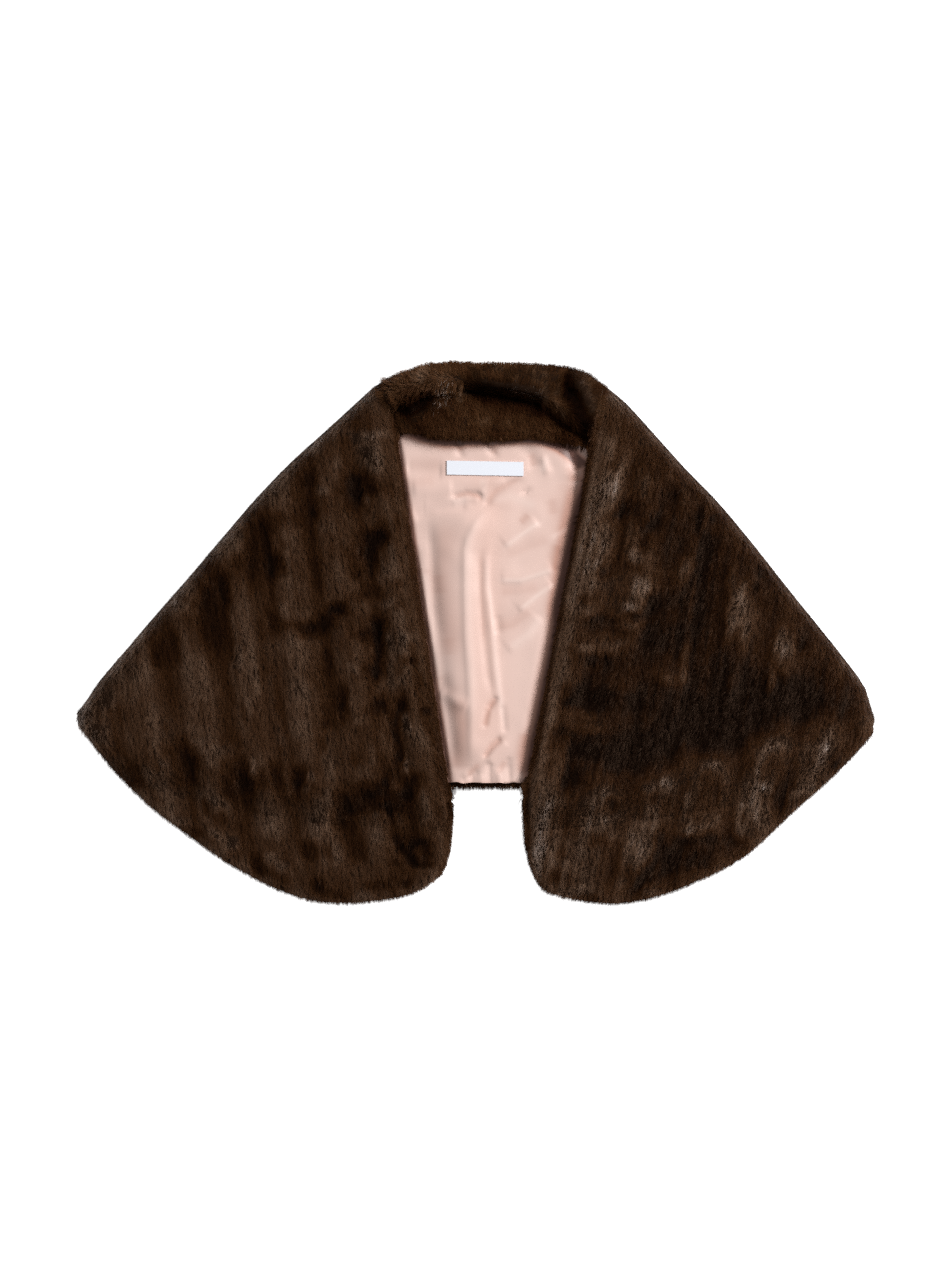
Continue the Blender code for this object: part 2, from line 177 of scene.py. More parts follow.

# %% Patches of the left front
# x, y, half across, half along, change of shade: partly the pile's own colour, partly painted
# sheen where lighter and painted shade in the pressed dents where darker
LEFT_PATCHES = (
    (-330, -66, 26, 46, 0.10), (-304, -12, 14, 21, -0.14), (-280, -124, 13, 24, -0.22),
    (-266, -57, 20, 62, 0.12), (-254, -166, 19, 24, 0.12), (-256, 20, 16, 46, -0.15),
    (-228, -142, 13, 21, -0.24), (-218, -8, 20, 48, 0.11), (-207, -100, 18, 46, 0.05),
    (-192, -190, 22, 34, 0.13), (-212, 81, 13, 34, -0.15), (-171, -144, 10, 18, -0.26),
    (-180, 74, 15, 46, 0.10), (-172, -42, 18, 40, 0.12), (-150, -197, 20, 36, 0.10),
    (-161, 91, 6, 50, -0.12), (-164, 13, 32, 9, -0.17), (-144, -70, 8, 25, -0.15),
    (-138, 72, 16, 42, 0.10), (-143, 162, 18, 25, 0.05), (-146, 190, 7, 20, -0.10),
    (-109, 147, 12, 13, -0.20), (-98, 84, 14, 17, -0.20),
    (-88, 66, 14, 24, 0.08), (-121, -24, 17, 18, 0.06), (-75, -116, 5, 31, -0.32),
    (-80, -80, 7, 8, -0.2), (-96, -166, 40, 11, -0.20), (-126, -180, 8, 22, -0.15),
    (-58, -206, 14, 14, -0.16), (-100, -197, 17, 24, 0.10), (-56, -130, 16, 42, 0.06),
    (-118, -112, 16, 26, -0.05), (-200, -60, 8, 30, -0.10),
    (-120, 140, 10, 18, -0.18), (-201, 110, 12, 12, -0.15), (-193, 68, 9, 11, -0.28),
    (-200, 88, 8, 18, -0.10), (-245, 45, 6, 20, -0.18), (-232, 70, 7, 8, -0.14),
    (-270, 5, 18, 28, -0.08), (-292, -10, 6, 16, -0.08), (-265, -5, 6, 14, -0.06),
    (-197, 10, 7, 14, -0.15), (-210, 5, 4, 10, -0.08), (-160, 3, 14, 7, -0.18),
    (-132, 25, 12, 6, -0.20), (-118, 70, 10, 16, -0.12), (-117, 56, 6, 5, -0.10),
    (-102, 42, 10, 8, -0.14), (-90, 100, 7, 9, -0.14), (-93, 9, 10, 8, -0.24),
    (-105, -2, 12, 7, -0.15), (-144, -28, 6, 16, -0.14), (-130, -68, 7, 17, -0.22),
    (-100, -38, 5, 8, -0.08), (-93, -72, 8, 8, -0.20), (-72, -70, 6, 9, -0.20),
    (-50, -76, 6, 5, -0.16), (-343, -78, 7, 16, -0.08), (-268, -78, 10, 12, -0.08),
    (-333, -133, 5, 12, -0.10), (-274, -130, 5, 16, -0.12), (-244, -148, 6, 12, -0.14),
    (-262, -170, 6, 10, -0.14), (-250, -178, 8, 5, -0.12), (-222, -142, 6, 12, -0.12),
    (-208, -140, 6, 10, -0.14), (-195, -140, 6, 13, -0.22), (-222, -168, 8, 6, -0.12),
    (-100, -152, 14, 9, -0.25), (-85, -135, 7, 12, -0.18), (-58, -145, 10, 12, -0.22),
    (-70, -156, 10, 5, -0.12), (-134, -183, 7, 12, -0.12), (-115, -212, 10, 12, -0.14),
    (-75, -205, 5, 10, -0.18), (-55, -222, 14, 7, -0.15), (-60, -185, 5, 12, -0.10),
    (-162, -212, 10, 10, -0.26), (-213, -228, 7, 11, -0.18), (-155, -250, 8, 7, -0.18),
    (-95, -246, 10, 5, -0.15), (-207, -205, 14, 10, -0.06), (-105, 175, 14, 20, 0.25),
    (-292, -135, 9, 22, 0.20), (-294, -165, 14, 14, 0.14), (-240, -120, 14, 12, 0.12),
    (-232, -85, 8, 26, 0.06), (-130, -115, 14, 30, 0.16), (-150, -172, 8, 20, 0.10),
    (-240, -205, 12, 12, 0.15), (-188, -230, 9, 8, 0.14), (-165, -145, 5, 9, 0.20),
    (-70, -130, 5, 6, 0.26), (-132, -40, 7, 40, 0.10), (-135, 5, 6, 12, 0.12),
    (-172, 18, 16, 5, 0.14), (-85, 75, 8, 16, 0.12), (-76, 0, 10, 28, 0.16),
    (-82, -40, 5, 18, 0.16), (-70, -30, 8, 20, 0.10), (-50, -170, 10, 25, 0.12),
    (-95, 125, 10, 22, 0.06), (-190, 130, 12, 12, 0.08), (-152, 140, 4, 7, 0.10),
    (-55, -100, 10, 14, 0.08), (-85, -105, 14, 12, 0.06), (-300, -50, 10, 40, 0.05),
    (-125, -235, 20, 14, 0.06),
    (-372, -86, 20, 28, 0.20), (-243, 20, 5, 42, -0.12), (-232, 48, 14, 12, -0.08),
    (-100, 78, 7, 26, -0.15), (-98, 96, 12, 7, -0.10), (-118, 134, 12, 13, -0.07),
    (-140, 20, 6, 12, -0.08), (-160, 2, 10, 5, -0.10), (-130, 25, 7, 7, -0.10),
    (-107, 128, 4, 6, 0.14), (-103, 112, 7, 10, 0.09), (-146, 108, 10, 10, 0.08),
    (-173, 12, 12, 7, 0.08), (-92, -49, 6, 7, 0.16), (-84, -78, 5, 8, 0.14),
    (-70, -90, 6, 11, 0.12), (-129, -60, 5, 16, -0.10), (-145, -88, 6, 5, -0.14),
    (-50, -75, 6, 4, -0.12), (-210, -88, 10, 24, -0.05), (-293, -104, 12, 10, 0.10),
    (-306, -142, 14, 9, 0.12), (-239, -136, 6, 20, 0.12), (-216, -150, 6, 12, -0.08),
    (-183, -132, 5, 24, 0.12), (-196, -134, 4, 12, -0.10), (-145, -128, 5, 24, 0.10),
    (-162, -218, 6, 20, -0.10), (-156, -245, 6, 7, -0.14), (-213, -222, 7, 9, -0.12),
    (-108, -172, 14, 7, -0.12), (-93, -162, 5, 5, 0.14), (-94, -176, 6, 4, 0.20),
    (-83, -178, 4, 13, -0.14), (-64, -152, 9, 10, -0.14), (-69, -138, 5, 7, 0.14),
    (-51, -147, 5, 6, 0.12), (-78, -203, 5, 11, -0.14), (-80, -224, 5, 4, -0.14),
    (-66, -214, 7, 8, -0.12), (-50, -202, 9, 4, -0.14), (-50, -226, 10, 4, -0.14),
    (-53, -212, 5, 4, 0.10), (-66, -245, 5, 4, -0.14), (-160, 150, 7, 11, -0.10),
    (-150, 161, 8, 6, -0.06), (-189, 112, 5, 8, -0.08), (-173, 115, 5, 9, -0.09),
    (-158, 115, 4, 9, -0.08), (-190, 85, 5, 11, -0.12), (-200, 60, 7, 8, -0.12),
    (-220, 58, 5, 16, -0.10), (-236, -30, 5, 30, 0.06), (-205, -5, 6, 20, 0.05),
    (-203, 90, 4, 24, -0.08), (-199, 42, 4, 13, -0.10), (-235, 62, 7, 6, -0.10),
    (-168, 150, 7, 8, -0.10), (-158, 172, 8, 5, -0.10), (-117, 145, 6, 20, -0.08),
    (-96, 142, 9, 5, -0.09), (-98, 75, 5, 15, -0.06), (-90, 90, 5, 5, -0.08),
    (-135, 78, 9, 9, -0.07), (-120, 65, 8, 4, -0.08), (-117, 55, 6, 4, -0.08),
    (-175, 62, 11, 11, -0.05), (-145, 12, 6, 9, -0.10), (-135, 22, 8, 4, -0.09),
    (-162, 10, 5, 6, -0.08), (-115, -2, 9, 5, -0.10), (-104, 5, 9, 6, -0.14),
    (-65, -26, 9, 4, -0.12), (-54, -45, 5, 9, -0.12), (-75, -80, 3, 13, -0.08),
    (-88, -145, 5, 7, -0.14), (-103, -160, 6, 7, -0.12), (-85, -170, 11, 7, -0.12),
    (-68, -160, 5, 6, -0.10), (-34, -145, 5, 13, -0.12), (-50, -205, 9, 5, -0.10),
    (-47, -212, 6, 5, -0.18), (-85, -215, 5, 7, -0.08), (-55, -225, 15, 6, -0.06),
    (-297, -125, 6, 14, -0.10), (-293, -146, 9, 7, -0.10), (-245, -145, 5, 14, -0.12),
    (-243, -120, 6, 7, -0.07), (-238, -55, 4, 13, -0.06), (-312, -25, 5, 8, -0.12),
    (-302, -45, 4, 17, -0.06), (-172, -145, 5, 6, -0.10), (-185, -165, 5, 13, -0.06),
    (-137, -182, 9, 6, -0.12), (-118, -150, 6, 5, -0.08), (-118, -122, 5, 7, -0.06),
    (-208, 5, 4, 14, -0.06), (-240, -15, 3, 9, -0.06), (-88, 30, 8, 5, 0.15),
    (-93, 62, 5, 17, 0.16), (-82, -10, 4, 15, 0.10), (-84, -40, 3, 12, 0.08),
    (-130, -80, 6, 7, 0.15), (-115, -70, 9, 14, 0.07), (-148, -58, 8, 9, 0.12),
    (-110, -135, 8, 11, 0.10), (-70, -78, 4, 5, 0.14), (-78, -112, 4, 8, 0.10),
    (-65, -125, 5, 5, 0.10), (-55, -155, 6, 5, 0.08), (-105, -176, 10, 3, 0.12),
    (-75, -180, 4, 8, 0.10), (-166, -155, 5, 6, 0.12), (-165, -115, 6, 13, 0.08),
    (-270, -137, 4, 8, 0.18), (-262, -112, 18, 5, 0.07), (-310, -110, 5, 13, 0.08),
    (-218, -128, 5, 7, 0.14), (-236, 0, 3, 17, 0.08), (-226, 100, 5, 11, 0.16),
    (-265, 52, 6, 9, 0.18), (-309, 0, 8, 9, 0.14), (-335, -35, 8, 11, 0.07),
    (-358, -62, 9, 10, 0.14), (-182, 148, 9, 8, 0.08), (-262, 15, 3, 13, 0.08),
    (-105, 95, 6, 4, 0.10), (-120, 105, 6, 8, 0.06), (-145, 30, 8, 6, 0.06),
    (-172, 22, 8, 9, 0.05), (-290, -90, 11, 8, 0.08), (-118, -50, 8, 6, 0.06),
    (-100, 155, 5, 8, 0.08),
    (-217, -143, 8, 14, 0.12), (-170, -140, 6, 10, 0.08), (-162, -210, 6, 8, 0.08),
    (-233, 89, 9, 8, 0.14), (-243, 78, 6, 5, 0.10), (-275, 40, 7, 8, 0.14),
    (-288, 26, 9, 7, 0.16), (-222, 48, 18, 12, 0.05), (-88, 3, 4, 9, 0.14),
    (-87, -10, 4, 9, 0.14), (-66, -3, 9, 6, 0.12), (-72, -47, 5, 8, 0.12),
    (-66, -85, 4, 9, 0.12), (-93, 76, 3, 9, 0.10), (-113, 66, 4, 5, 0.12),
    (-110, 146, 4, 5, 0.14), (-107, 133, 4, 6, 0.12), (-147, 140, 5, 4, 0.12),
    (-104, 170, 5, 9, 0.08), (-135, 168, 4, 8, 0.08), (-105, 195, 22, 5, 0.16),
    (-185, 137, 7, 9, 0.06), (-160, 87, 5, 12, 0.07), (-196, 90, 4, 6, 0.09),
    (-186, 22, 4, 8, 0.10), (-176, -4, 8, 8, 0.09), (-153, -5, 5, 12, 0.07),
    (-122, 27, 4, 5, 0.12), (-119, -33, 5, 6, 0.12), (-112, -84, 9, 5, 0.08),
    (-171, -93, 11, 10, 0.11), (-172, -52, 7, 10, 0.07), (-216, -35, 4, 24, 0.06),
    (-232, -22, 5, 12, 0.12), (-220, -70, 4, 9, 0.10), (-198, -20, 6, 18, 0.05),
    (-325, -35, 10, 14, 0.07), (-270, -103, 10, 4, 0.11), (-258, -122, 4, 9, 0.13),
    (-272, -130, 4, 9, 0.08), (-305, -90, 16, 18, 0.04), (-304, -126, 5, 5, 0.14),
    (-321, -135, 5, 9, 0.13), (-308, -152, 8, 6, 0.10), (-366, -98, 8, 9, 0.13),
    (-348, -122, 7, 6, 0.12), (-288, -183, 10, 5, 0.18), (-256, -163, 6, 5, 0.10),
    (-257, -195, 6, 5, 0.14), (-238, -203, 7, 5, 0.12), (-233, -222, 9, 5, 0.12),
    (-205, -220, 10, 5, 0.09), (-189, -228, 5, 5, 0.11), (-157, -188, 5, 14, 0.13),
    (-143, -160, 4, 9, 0.12), (-143, -128, 5, 16, 0.08), (-159, -138, 4, 5, 0.14),
    (-135, -213, 4, 12, 0.13), (-96, -198, 7, 8, 0.10), (-101, -120, 4, 10, 0.09),
    (-110, -172, 8, 4, 0.08), (-54, -206, 4, 4, 0.12), (-110, -254, 8, 4, 0.12),
    (-200, -185, 12, 8, 0.05), (-131, -78, 3, 9, -0.22), (-105, -35, 5, 6, -0.14),
    (-65, -25, 8, 6, -0.14), (-76, 49, 8, 5, -0.12), (-75, 27, 6, 5, -0.10),
    (-103, 62, 3, 6, -0.14), (-115, 36, 14, 4, -0.11), (-75, 108, 3, 7, -0.14),
    (-85, 142, 5, 12, -0.07), (-90, 110, 5, 5, -0.09), (-113, 170, 5, 12, -0.07),
    (-133, 141, 5, 6, -0.08), (-116, 122, 4, 4, -0.09), (-155, 115, 4, 5, -0.11),
    (-138, 92, 10, 9, -0.05), (-152, 50, 6, 4, -0.07), (-187, -35, 4, 18, -0.07),
    (-146, 2, 4, 4, -0.10), (-165, -42, 8, 7, -0.05), (-92, -68, 5, 5, -0.10),
    (-105, -73, 5, 4, -0.09), (-73, -70, 4, 6, -0.08), (-50, -62, 6, 20, -0.05),
    (-48, -92, 4, 7, -0.12), (-150, -108, 4, 8, -0.11), (-119, -118, 3, 16, -0.08),
    (-169, -140, 5, 7, -0.20), (-155, -152, 5, 8, -0.09), (-245, -127, 5, 5, -0.13),
    (-216, -145, 9, 10, -0.10), (-243, -157, 5, 7, -0.09), (-192, -157, 6, 10, -0.07),
    (-250, -183, 8, 7, -0.12), (-265, -168, 3, 9, -0.09), (-295, -145, 5, 10, -0.10),
    (-304, -112, 6, 6, -0.06), (-350, -85, 7, 18, -0.05), (-50, -145, 9, 9, -0.10),
    (-40, -165, 5, 18, -0.10), (-45, -188, 6, 6, -0.08), (-87, -178, 9, 5, -0.11),
    (-85, -150, 3, 8, -0.09), (-60, -203, 6, 5, -0.13), (-111, -205, 5, 20, -0.08),
    (-146, -212, 5, 7, -0.12), (-171, -200, 4, 26, -0.07), (-200, -208, 10, 7, -0.07),
    (-226, -75, 3, 9, -0.09), (-85, -100, 5, 7, -0.07), (-165, 168, 9, 5, -0.10),
    (-138, -256, 16, 5, -0.12), (-70, -247, 7, 4, -0.12), (-332, -146, 9, 5, -0.16),
    (-272, -193, 5, 5, -0.16), (-208, -232, 12, 5, -0.10),
)
print(len(LEFT_PATCHES), "patches on the left front")

# %% Patches of the right front
# columns as on the left: partly the pile's own colour, partly painted sheen and painted shade
RIGHT_PATCHES = (
    (129, 143, 15, 29, 0.22), (122, 84, 15, 24, 0.20), (110, 42, 16, 21, 0.10),
    (162, 79, 10, 13, 0.17), (159, 42, 13, 18, 0.20), (139, 28, 10, 9, 0.08),
    (257, 20, 12, 33, 0.31), (301, -19, 12, 24, 0.28), (192, -46, 9, 8, 0.12),
    (133, -50, 18, 6, 0.06), (106, -106, 14, 4, 0.10), (125, -110, 6, 4, 0.08),
    (171, -179, 8, 20, 0.26), (163, -214, 10, 16, 0.30), (148, -202, 9, 27, 0.12),
    (278, -173, 13, 25, 0.14), (346, -108, 9, 18, 0.24), (328, -148, 17, 25, 0.12),
    (91, -202, 27, 51, 0.10), (108, -241, 18, 18, 0.08), (120, -161, 12, 18, -0.02),
    (170, 106, 10, 12, -0.14), (217, 118, 5, 18, -0.10), (283, 54, 9, 10, -0.12),
    (143, 112, 8, 12, -0.10), (177, -15, 9, 20, -0.10), (161, -112, 43, 18, -0.14),
    (200, -77, 49, 23, -0.09), (313, -70, 25, 20, -0.08), (219, -214, 21, 16, -0.12),
    (296, -163, 7, 20, -0.16), (225, -147, 5, 18, -0.08), (288, -130, 4, 12, -0.12),
    (129, 11, 18, 9, -0.06), (108, -65, 10, 14, -0.08), (188, -222, 14, 25, -0.10),
    (255, -72, 60, 42, -0.13), (188, 130, 11, 24, -0.14), (172, 28, 8, 14, -0.24),
    (196, 5, 32, 26, -0.09), (245, -108, 28, 11, -0.12), (300, -50, 40, 24, -0.08),
    (165, -80, 50, 48, -0.08), (100, -66, 14, 8, -0.18), (115, -105, 22, 8, -0.18),
    (112, -25, 8, 6, -0.24), (120, -55, 20, 24, -0.08), (165, -130, 20, 10, -0.10),
    (100, -138, 14, 12, -0.10), (365, -60, 5, 14, -0.14), (270, 43, 6, 8, -0.25),
    (318, -3, 8, 10, -0.16), (140, 120, 7, 9, -0.22), (125, 62, 8, 4, -0.20),
    (165, 88, 5, 5, -0.18), (116, 10, 10, 8, -0.12), (165, 0, 12, 10, -0.12),
    (210, 50, 4, 6, -0.14), (160, 150, 14, 18, 0.14), (150, 85, 8, 25, 0.18),
    (142, 50, 14, 12, 0.18), (125, -5, 14, 16, 0.16), (115, -88, 14, 11, 0.16),
    (150, 10, 12, 4, 0.14), (178, -38, 8, 8, 0.08), (250, 57, 5, 10, 0.14),
    (248, 20, 4, 10, 0.12), (270, 12, 6, 12, 0.16), (297, -2, 5, 14, 0.12),
    (205, -130, 18, 12, 0.13), (190, -150, 16, 10, 0.16), (265, -150, 14, 18, 0.24),
    (275, -112, 12, 12, 0.12), (330, -115, 14, 12, 0.22), (305, -165, 12, 12, 0.16),
    (345, -112, 10, 12, 0.10), (300, -112, 20, 10, 0.10), (115, -160, 30, 20, 0.05),
    (137, -178, 12, 10, 0.20), (155, -200, 8, 30, 0.20), (108, -200, 25, 30, 0.12),
    (185, -185, 10, 10, 0.15), (205, -195, 10, 5, 0.20), (66, -200, 8, 40, 0.10),
    (235, -152, 5, 14, -0.14), (225, -195, 10, 6, -0.18), (130, -228, 10, 16, -0.16),
    (185, -225, 12, 18, -0.10), (225, -220, 10, 12, -0.10), (300, -140, 6, 12, -0.10),
    (86, -180, 4, 8, -0.12), (150, -190, 60, 50, 0.05),
    (225, -20, 42, 70, -0.06), (222, 55, 6, 40, -0.12), (195, 35, 18, 11, -0.12),
    (200, -2, 11, 11, -0.12), (240, 5, 4, 13, -0.12), (250, -16, 10, 11, -0.10),
    (240, -60, 9, 38, -0.08), (232, -98, 28, 16, -0.12), (312, -64, 18, 22, -0.14),
    (342, -60, 12, 18, -0.10), (275, -84, 9, 13, -0.12), (137, -126, 13, 11, -0.12),
    (99, -114, 8, 10, -0.14), (85, -96, 11, 5, -0.12), (155, -112, 40, 8, -0.07),
    (125, -168, 14, 9, -0.16), (90, -145, 7, 11, -0.12), (87, -178, 4, 8, -0.10),
    (152, -68, 9, 9, -0.12), (105, -55, 7, 8, -0.15), (118, 0, 7, 8, -0.10),
    (216, 108, 4, 14, -0.12), (172, 136, 6, 8, -0.08), (176, 112, 8, 10, -0.08),
    (146, 66, 6, 5, -0.10), (125, 60, 6, 4, -0.10), (200, 85, 4, 10, -0.08),
    (158, 122, 4, 6, -0.08), (128, 114, 6, 5, -0.08), (188, -224, 9, 14, -0.10),
    (168, -233, 7, 14, -0.12), (212, -220, 5, 8, -0.10), (224, -228, 6, 5, -0.10),
    (253, -203, 10, 7, -0.08), (192, -118, 6, 16, -0.12), (322, -134, 14, 16, 0.20),
    (295, -99, 18, 5, 0.14), (329, -96, 9, 10, 0.12), (288, -134, 5, 20, 0.16),
    (283, -180, 16, 12, 0.14), (255, -175, 12, 12, 0.10), (233, -132, 7, 11, 0.14),
    (204, -170, 4, 18, 0.12), (229, -152, 5, 18, 0.12), (214, -195, 11, 4, 0.14),
    (288, -44, 4, 9, 0.24), (310, -30, 9, 7, 0.10), (206, -40, 4, 9, 0.14),
    (186, -45, 8, 5, 0.12), (223, -60, 4, 9, 0.12), (127, -42, 7, 5, 0.10),
    (120, -68, 14, 8, 0.08), (116, -93, 12, 5, 0.12), (140, 32, 20, 10, 0.12),
    (140, 17, 9, 4, 0.14), (109, 55, 9, 18, 0.12), (104, 24, 9, 8, 0.20), (97, 0, 8, 16, 0.16),
    (93, -36, 9, 16, 0.22), (70, -150, 10, 22, 0.12), (73, -195, 10, 26, 0.08),
    (130, 182, 5, 12, 0.12), (149, 170, 6, 10, 0.12), (166, 190, 10, 7, 0.14),
    (140, 140, 6, 16, 0.08), (149, 108, 5, 10, 0.10), (165, 112, 4, 5, 0.12),
    (188, 60, 14, 5, 0.08), (136, -195, 9, 7, 0.10), (108, -160, 6, 5, 0.10),
    (145, -135, 5, 6, 0.10), (190, -155, 6, 12, 0.08), (110, -232, 10, 8, 0.08),
    (232, -45, 3, 20, 0.05), (262, -40, 3, 30, -0.06),
    (122, 150, 7, 22, -0.12), (125, 125, 6, 14, -0.08), (115, 80, 5, 9, -0.08),
    (105, 32, 8, 6, -0.12), (97, -8, 5, 9, -0.08), (94, -30, 6, 16, -0.10),
    (92, -66, 10, 5, -0.14), (82, -99, 8, 15, -0.20), (72, -130, 6, 9, -0.08),
    (68, -165, 5, 8, -0.08), (70, -195, 4, 22, -0.07), (77, -236, 7, 8, -0.28),
    (142, 0, 9, 5, -0.08), (165, 0, 7, 6, -0.06), (125, -57, 18, 4, -0.10),
    (155, -65, 9, 9, -0.06), (195, -95, 7, 15, -0.16), (180, -108, 9, 9, -0.12),
    (156, -115, 15, 8, -0.10), (137, -127, 7, 9, -0.10), (120, -115, 11, 9, -0.06),
    (215, -102, 8, 7, -0.12), (228, -50, 4, 28, -0.08), (250, -75, 4, 28, -0.08),
    (275, -70, 11, 15, -0.08), (293, -40, 3, 12, -0.08), (315, -10, 4, 9, -0.10),
    (360, -75, 5, 11, -0.10), (220, 15, 7, 13, -0.12), (232, 45, 4, 11, -0.06),
    (210, 55, 4, 7, -0.10), (163, 92, 4, 9, -0.12), (172, 105, 5, 6, -0.10),
    (155, 160, 4, 9, -0.10), (175, 155, 5, 8, -0.08), (237, 112, 8, 5, -0.12),
    (270, 65, 10, 6, -0.10), (280, 58, 5, 5, -0.14), (341, -119, 7, 5, -0.08),
    (352, -125, 5, 5, -0.14), (312, -135, 3, 9, -0.12), (298, -163, 7, 11, -0.15),
    (240, -178, 6, 9, -0.12), (200, -200, 9, 5, -0.15), (172, -222, 5, 11, -0.12),
    (160, -240, 5, 9, -0.10), (138, 150, 5, 17, 0.12), (137, 125, 5, 6, 0.12),
    (125, 85, 6, 9, 0.12), (122, 68, 9, 5, 0.14), (125, 48, 15, 6, 0.12), (162, 48, 8, 11, 0.18),
    (150, 70, 14, 5, 0.12), (148, 104, 5, 14, 0.08), (115, 23, 4, 5, 0.12),
    (108, -8, 5, 6, 0.08), (142, 20, 14, 4, 0.10), (155, 6, 6, 4, 0.12), (213, 35, 4, 9, 0.14),
    (207, -20, 5, 17, 0.08), (202, -40, 4, 7, 0.16), (178, -30, 11, 14, 0.06),
    (188, -42, 5, 5, 0.10), (225, -30, 4, 11, 0.10), (222, -50, 3, 6, 0.08),
    (263, -5, 4, 9, 0.12), (248, -48, 3, 8, 0.14), (292, -8, 3, 11, 0.12),
    (255, 55, 8, 17, 0.05), (203, 140, 6, 11, 0.14), (195, 120, 7, 9, 0.07),
    (165, 180, 8, 7, 0.10), (336, -15, 8, 6, 0.10), (377, -88, 8, 9, 0.18),
    (327, -88, 4, 6, 0.12), (350, -93, 8, 4, 0.10), (300, -95, 6, 16, 0.08),
    (268, -111, 7, 11, 0.12), (290, -105, 5, 6, 0.10), (328, -110, 8, 4, 0.10),
    (203, -110, 3, 6, 0.12), (112, -79, 10, 4, 0.12), (87, -128, 4, 8, 0.10),
    (82, -160, 6, 7, 0.14), (112, -138, 8, 5, 0.10), (123, -158, 18, 12, 0.20),
    (135, -172, 8, 5, 0.12), (110, -188, 10, 6, 0.10), (138, -197, 10, 6, 0.10),
    (175, -200, 4, 13, 0.12), (185, -140, 8, 7, 0.08), (204, -130, 4, 17, 0.08),
    (186, -170, 6, 4, 0.10), (225, -178, 8, 4, 0.12), (262, -190, 9, 6, 0.16),
    (268, -165, 11, 12, 0.08), (281, -150, 6, 5, 0.10), (320, -152, 10, 6, 0.14),
    (340, -135, 5, 7, 0.10), (110, -247, 13, 8, 0.26), (142, -245, 11, 7, 0.10),
    (170, -249, 10, 5, 0.20), (95, -215, 12, 26, 0.05), (195, -238, 9, 5, 0.08),
    (120, -180, 14, 22, 0.08), (278, -130, 6, 14, 0.08), (205, -188, 10, 6, 0.06),
    (95, -20, 7, 30, 0.08), (160, 60, 8, 12, 0.04),
    (118, 128, 12, 24, 0.12), (106, 85, 9, 24, 0.10), (94, 45, 7, 20, 0.10),
    (72, -90, 5, 50, 0.08), (62, -200, 8, 44, 0.14), (76, -165, 8, 8, 0.07),
    (85, -232, 6, 12, 0.12), (110, -235, 10, 5, 0.10), (92, -250, 14, 6, 0.12),
    (145, -240, 10, 8, 0.07), (153, -200, 4, 6, 0.12), (167, -208, 5, 12, 0.09),
    (176, -230, 4, 7, 0.10), (272, -175, 9, 24, 0.11), (270, -148, 7, 8, 0.11),
    (287, -148, 5, 8, 0.10), (276, -203, 10, 6, 0.10), (312, -156, 10, 6, 0.12),
    (232, -126, 10, 4, 0.10), (215, -138, 4, 4, 0.10), (168, -150, 9, 4, 0.12),
    (172, -185, 5, 14, 0.08), (192, -199, 8, 6, 0.08), (208, -160, 4, 8, 0.08),
    (256, 40, 7, 10, 0.12), (249, 10, 4, 9, 0.14), (214, 48, 3, 9, 0.12), (206, 65, 6, 4, 0.12),
    (213, 25, 4, 7, 0.12), (230, 20, 4, 16, 0.06), (223, -48, 5, 20, 0.09),
    (206, -12, 5, 20, 0.07), (193, -35, 5, 10, 0.10), (200, -110, 5, 12, 0.06),
    (167, -85, 6, 12, 0.08), (155, 78, 9, 4, 0.14), (171, 72, 4, 12, 0.08),
    (170, 48, 4, 6, 0.10), (153, 26, 11, 4, 0.14), (134, 63, 15, 4, 0.10),
    (128, 100, 5, 6, 0.10), (157, 152, 4, 16, 0.08), (100, -48, 6, 6, 0.10),
    (108, -32, 5, 7, 0.08), (125, -104, 12, 4, 0.12), (302, -14, 3, 8, 0.11),
    (288, -50, 5, 8, 0.10), (284, -108, 5, 7, 0.11), (336, -98, 12, 4, 0.08),
    (210, 105, 3, 9, 0.09), (205, 128, 4, 8, 0.08), (135, 163, 7, 6, -0.12),
    (152, 168, 4, 5, -0.08), (145, 130, 3, 14, -0.08), (144, 72, 7, 5, -0.14),
    (157, 67, 5, 4, -0.16), (150, 50, 5, 9, -0.12), (150, 38, 9, 5, -0.12),
    (103, 5, 4, 13, -0.15), (94, -12, 6, 6, -0.08), (98, -30, 5, 12, -0.10),
    (90, -51, 8, 5, -0.12), (109, -42, 4, 9, -0.12), (132, 12, 5, 12, -0.08),
    (152, 0, 9, 8, -0.12), (144, -16, 8, 7, -0.10), (122, -15, 7, 4, -0.10),
    (143, -35, 5, 5, -0.08), (186, -28, 4, 18, -0.09), (186, -80, 5, 20, -0.08),
    (152, -98, 9, 5, -0.10), (106, -94, 6, 4, -0.12), (96, -102, 5, 7, -0.12),
    (95, -133, 6, 9, -0.08), (131, -168, 5, 9, -0.22), (173, -160, 5, 6, -0.25),
    (163, -176, 4, 6, -0.10), (118, -200, 13, 8, -0.20), (110, -152, 9, 8, -0.08),
    (152, -130, 14, 8, -0.06), (155, -246, 4, 10, -0.12), (214, -195, 6, 5, -0.15),
    (231, -180, 5, 5, -0.12), (241, -186, 6, 8, -0.06), (270, -187, 5, 6, -0.20),
    (281, -136, 4, 8, -0.22), (287, -121, 4, 6, -0.14), (292, -155, 3, 6, -0.12),
    (326, -124, 7, 4, -0.18), (351, -122, 5, 9, -0.12), (310, -140, 4, 8, -0.08),
    (232, -140, 4, 9, -0.09), (257, -135, 4, 7, -0.11), (255, -3, 4, 11, -0.17),
    (293, -30, 3, 13, -0.12), (306, -28, 6, 6, -0.18), (315, -12, 5, 8, -0.10),
    (308, 10, 5, 8, -0.06), (271, -40, 3, 10, -0.09), (266, 59, 13, 7, -0.08),
    (270, 77, 5, 8, -0.12), (236, 85, 4, 13, -0.09), (212, 135, 4, 7, -0.10),
    (233, 117, 5, 6, -0.14), (190, 131, 8, 11, -0.08), (191, 88, 7, 16, -0.06),
    (335, -62, 5, 8, -0.11), (350, -70, 10, 12, -0.06), (318, -78, 9, 11, -0.07),
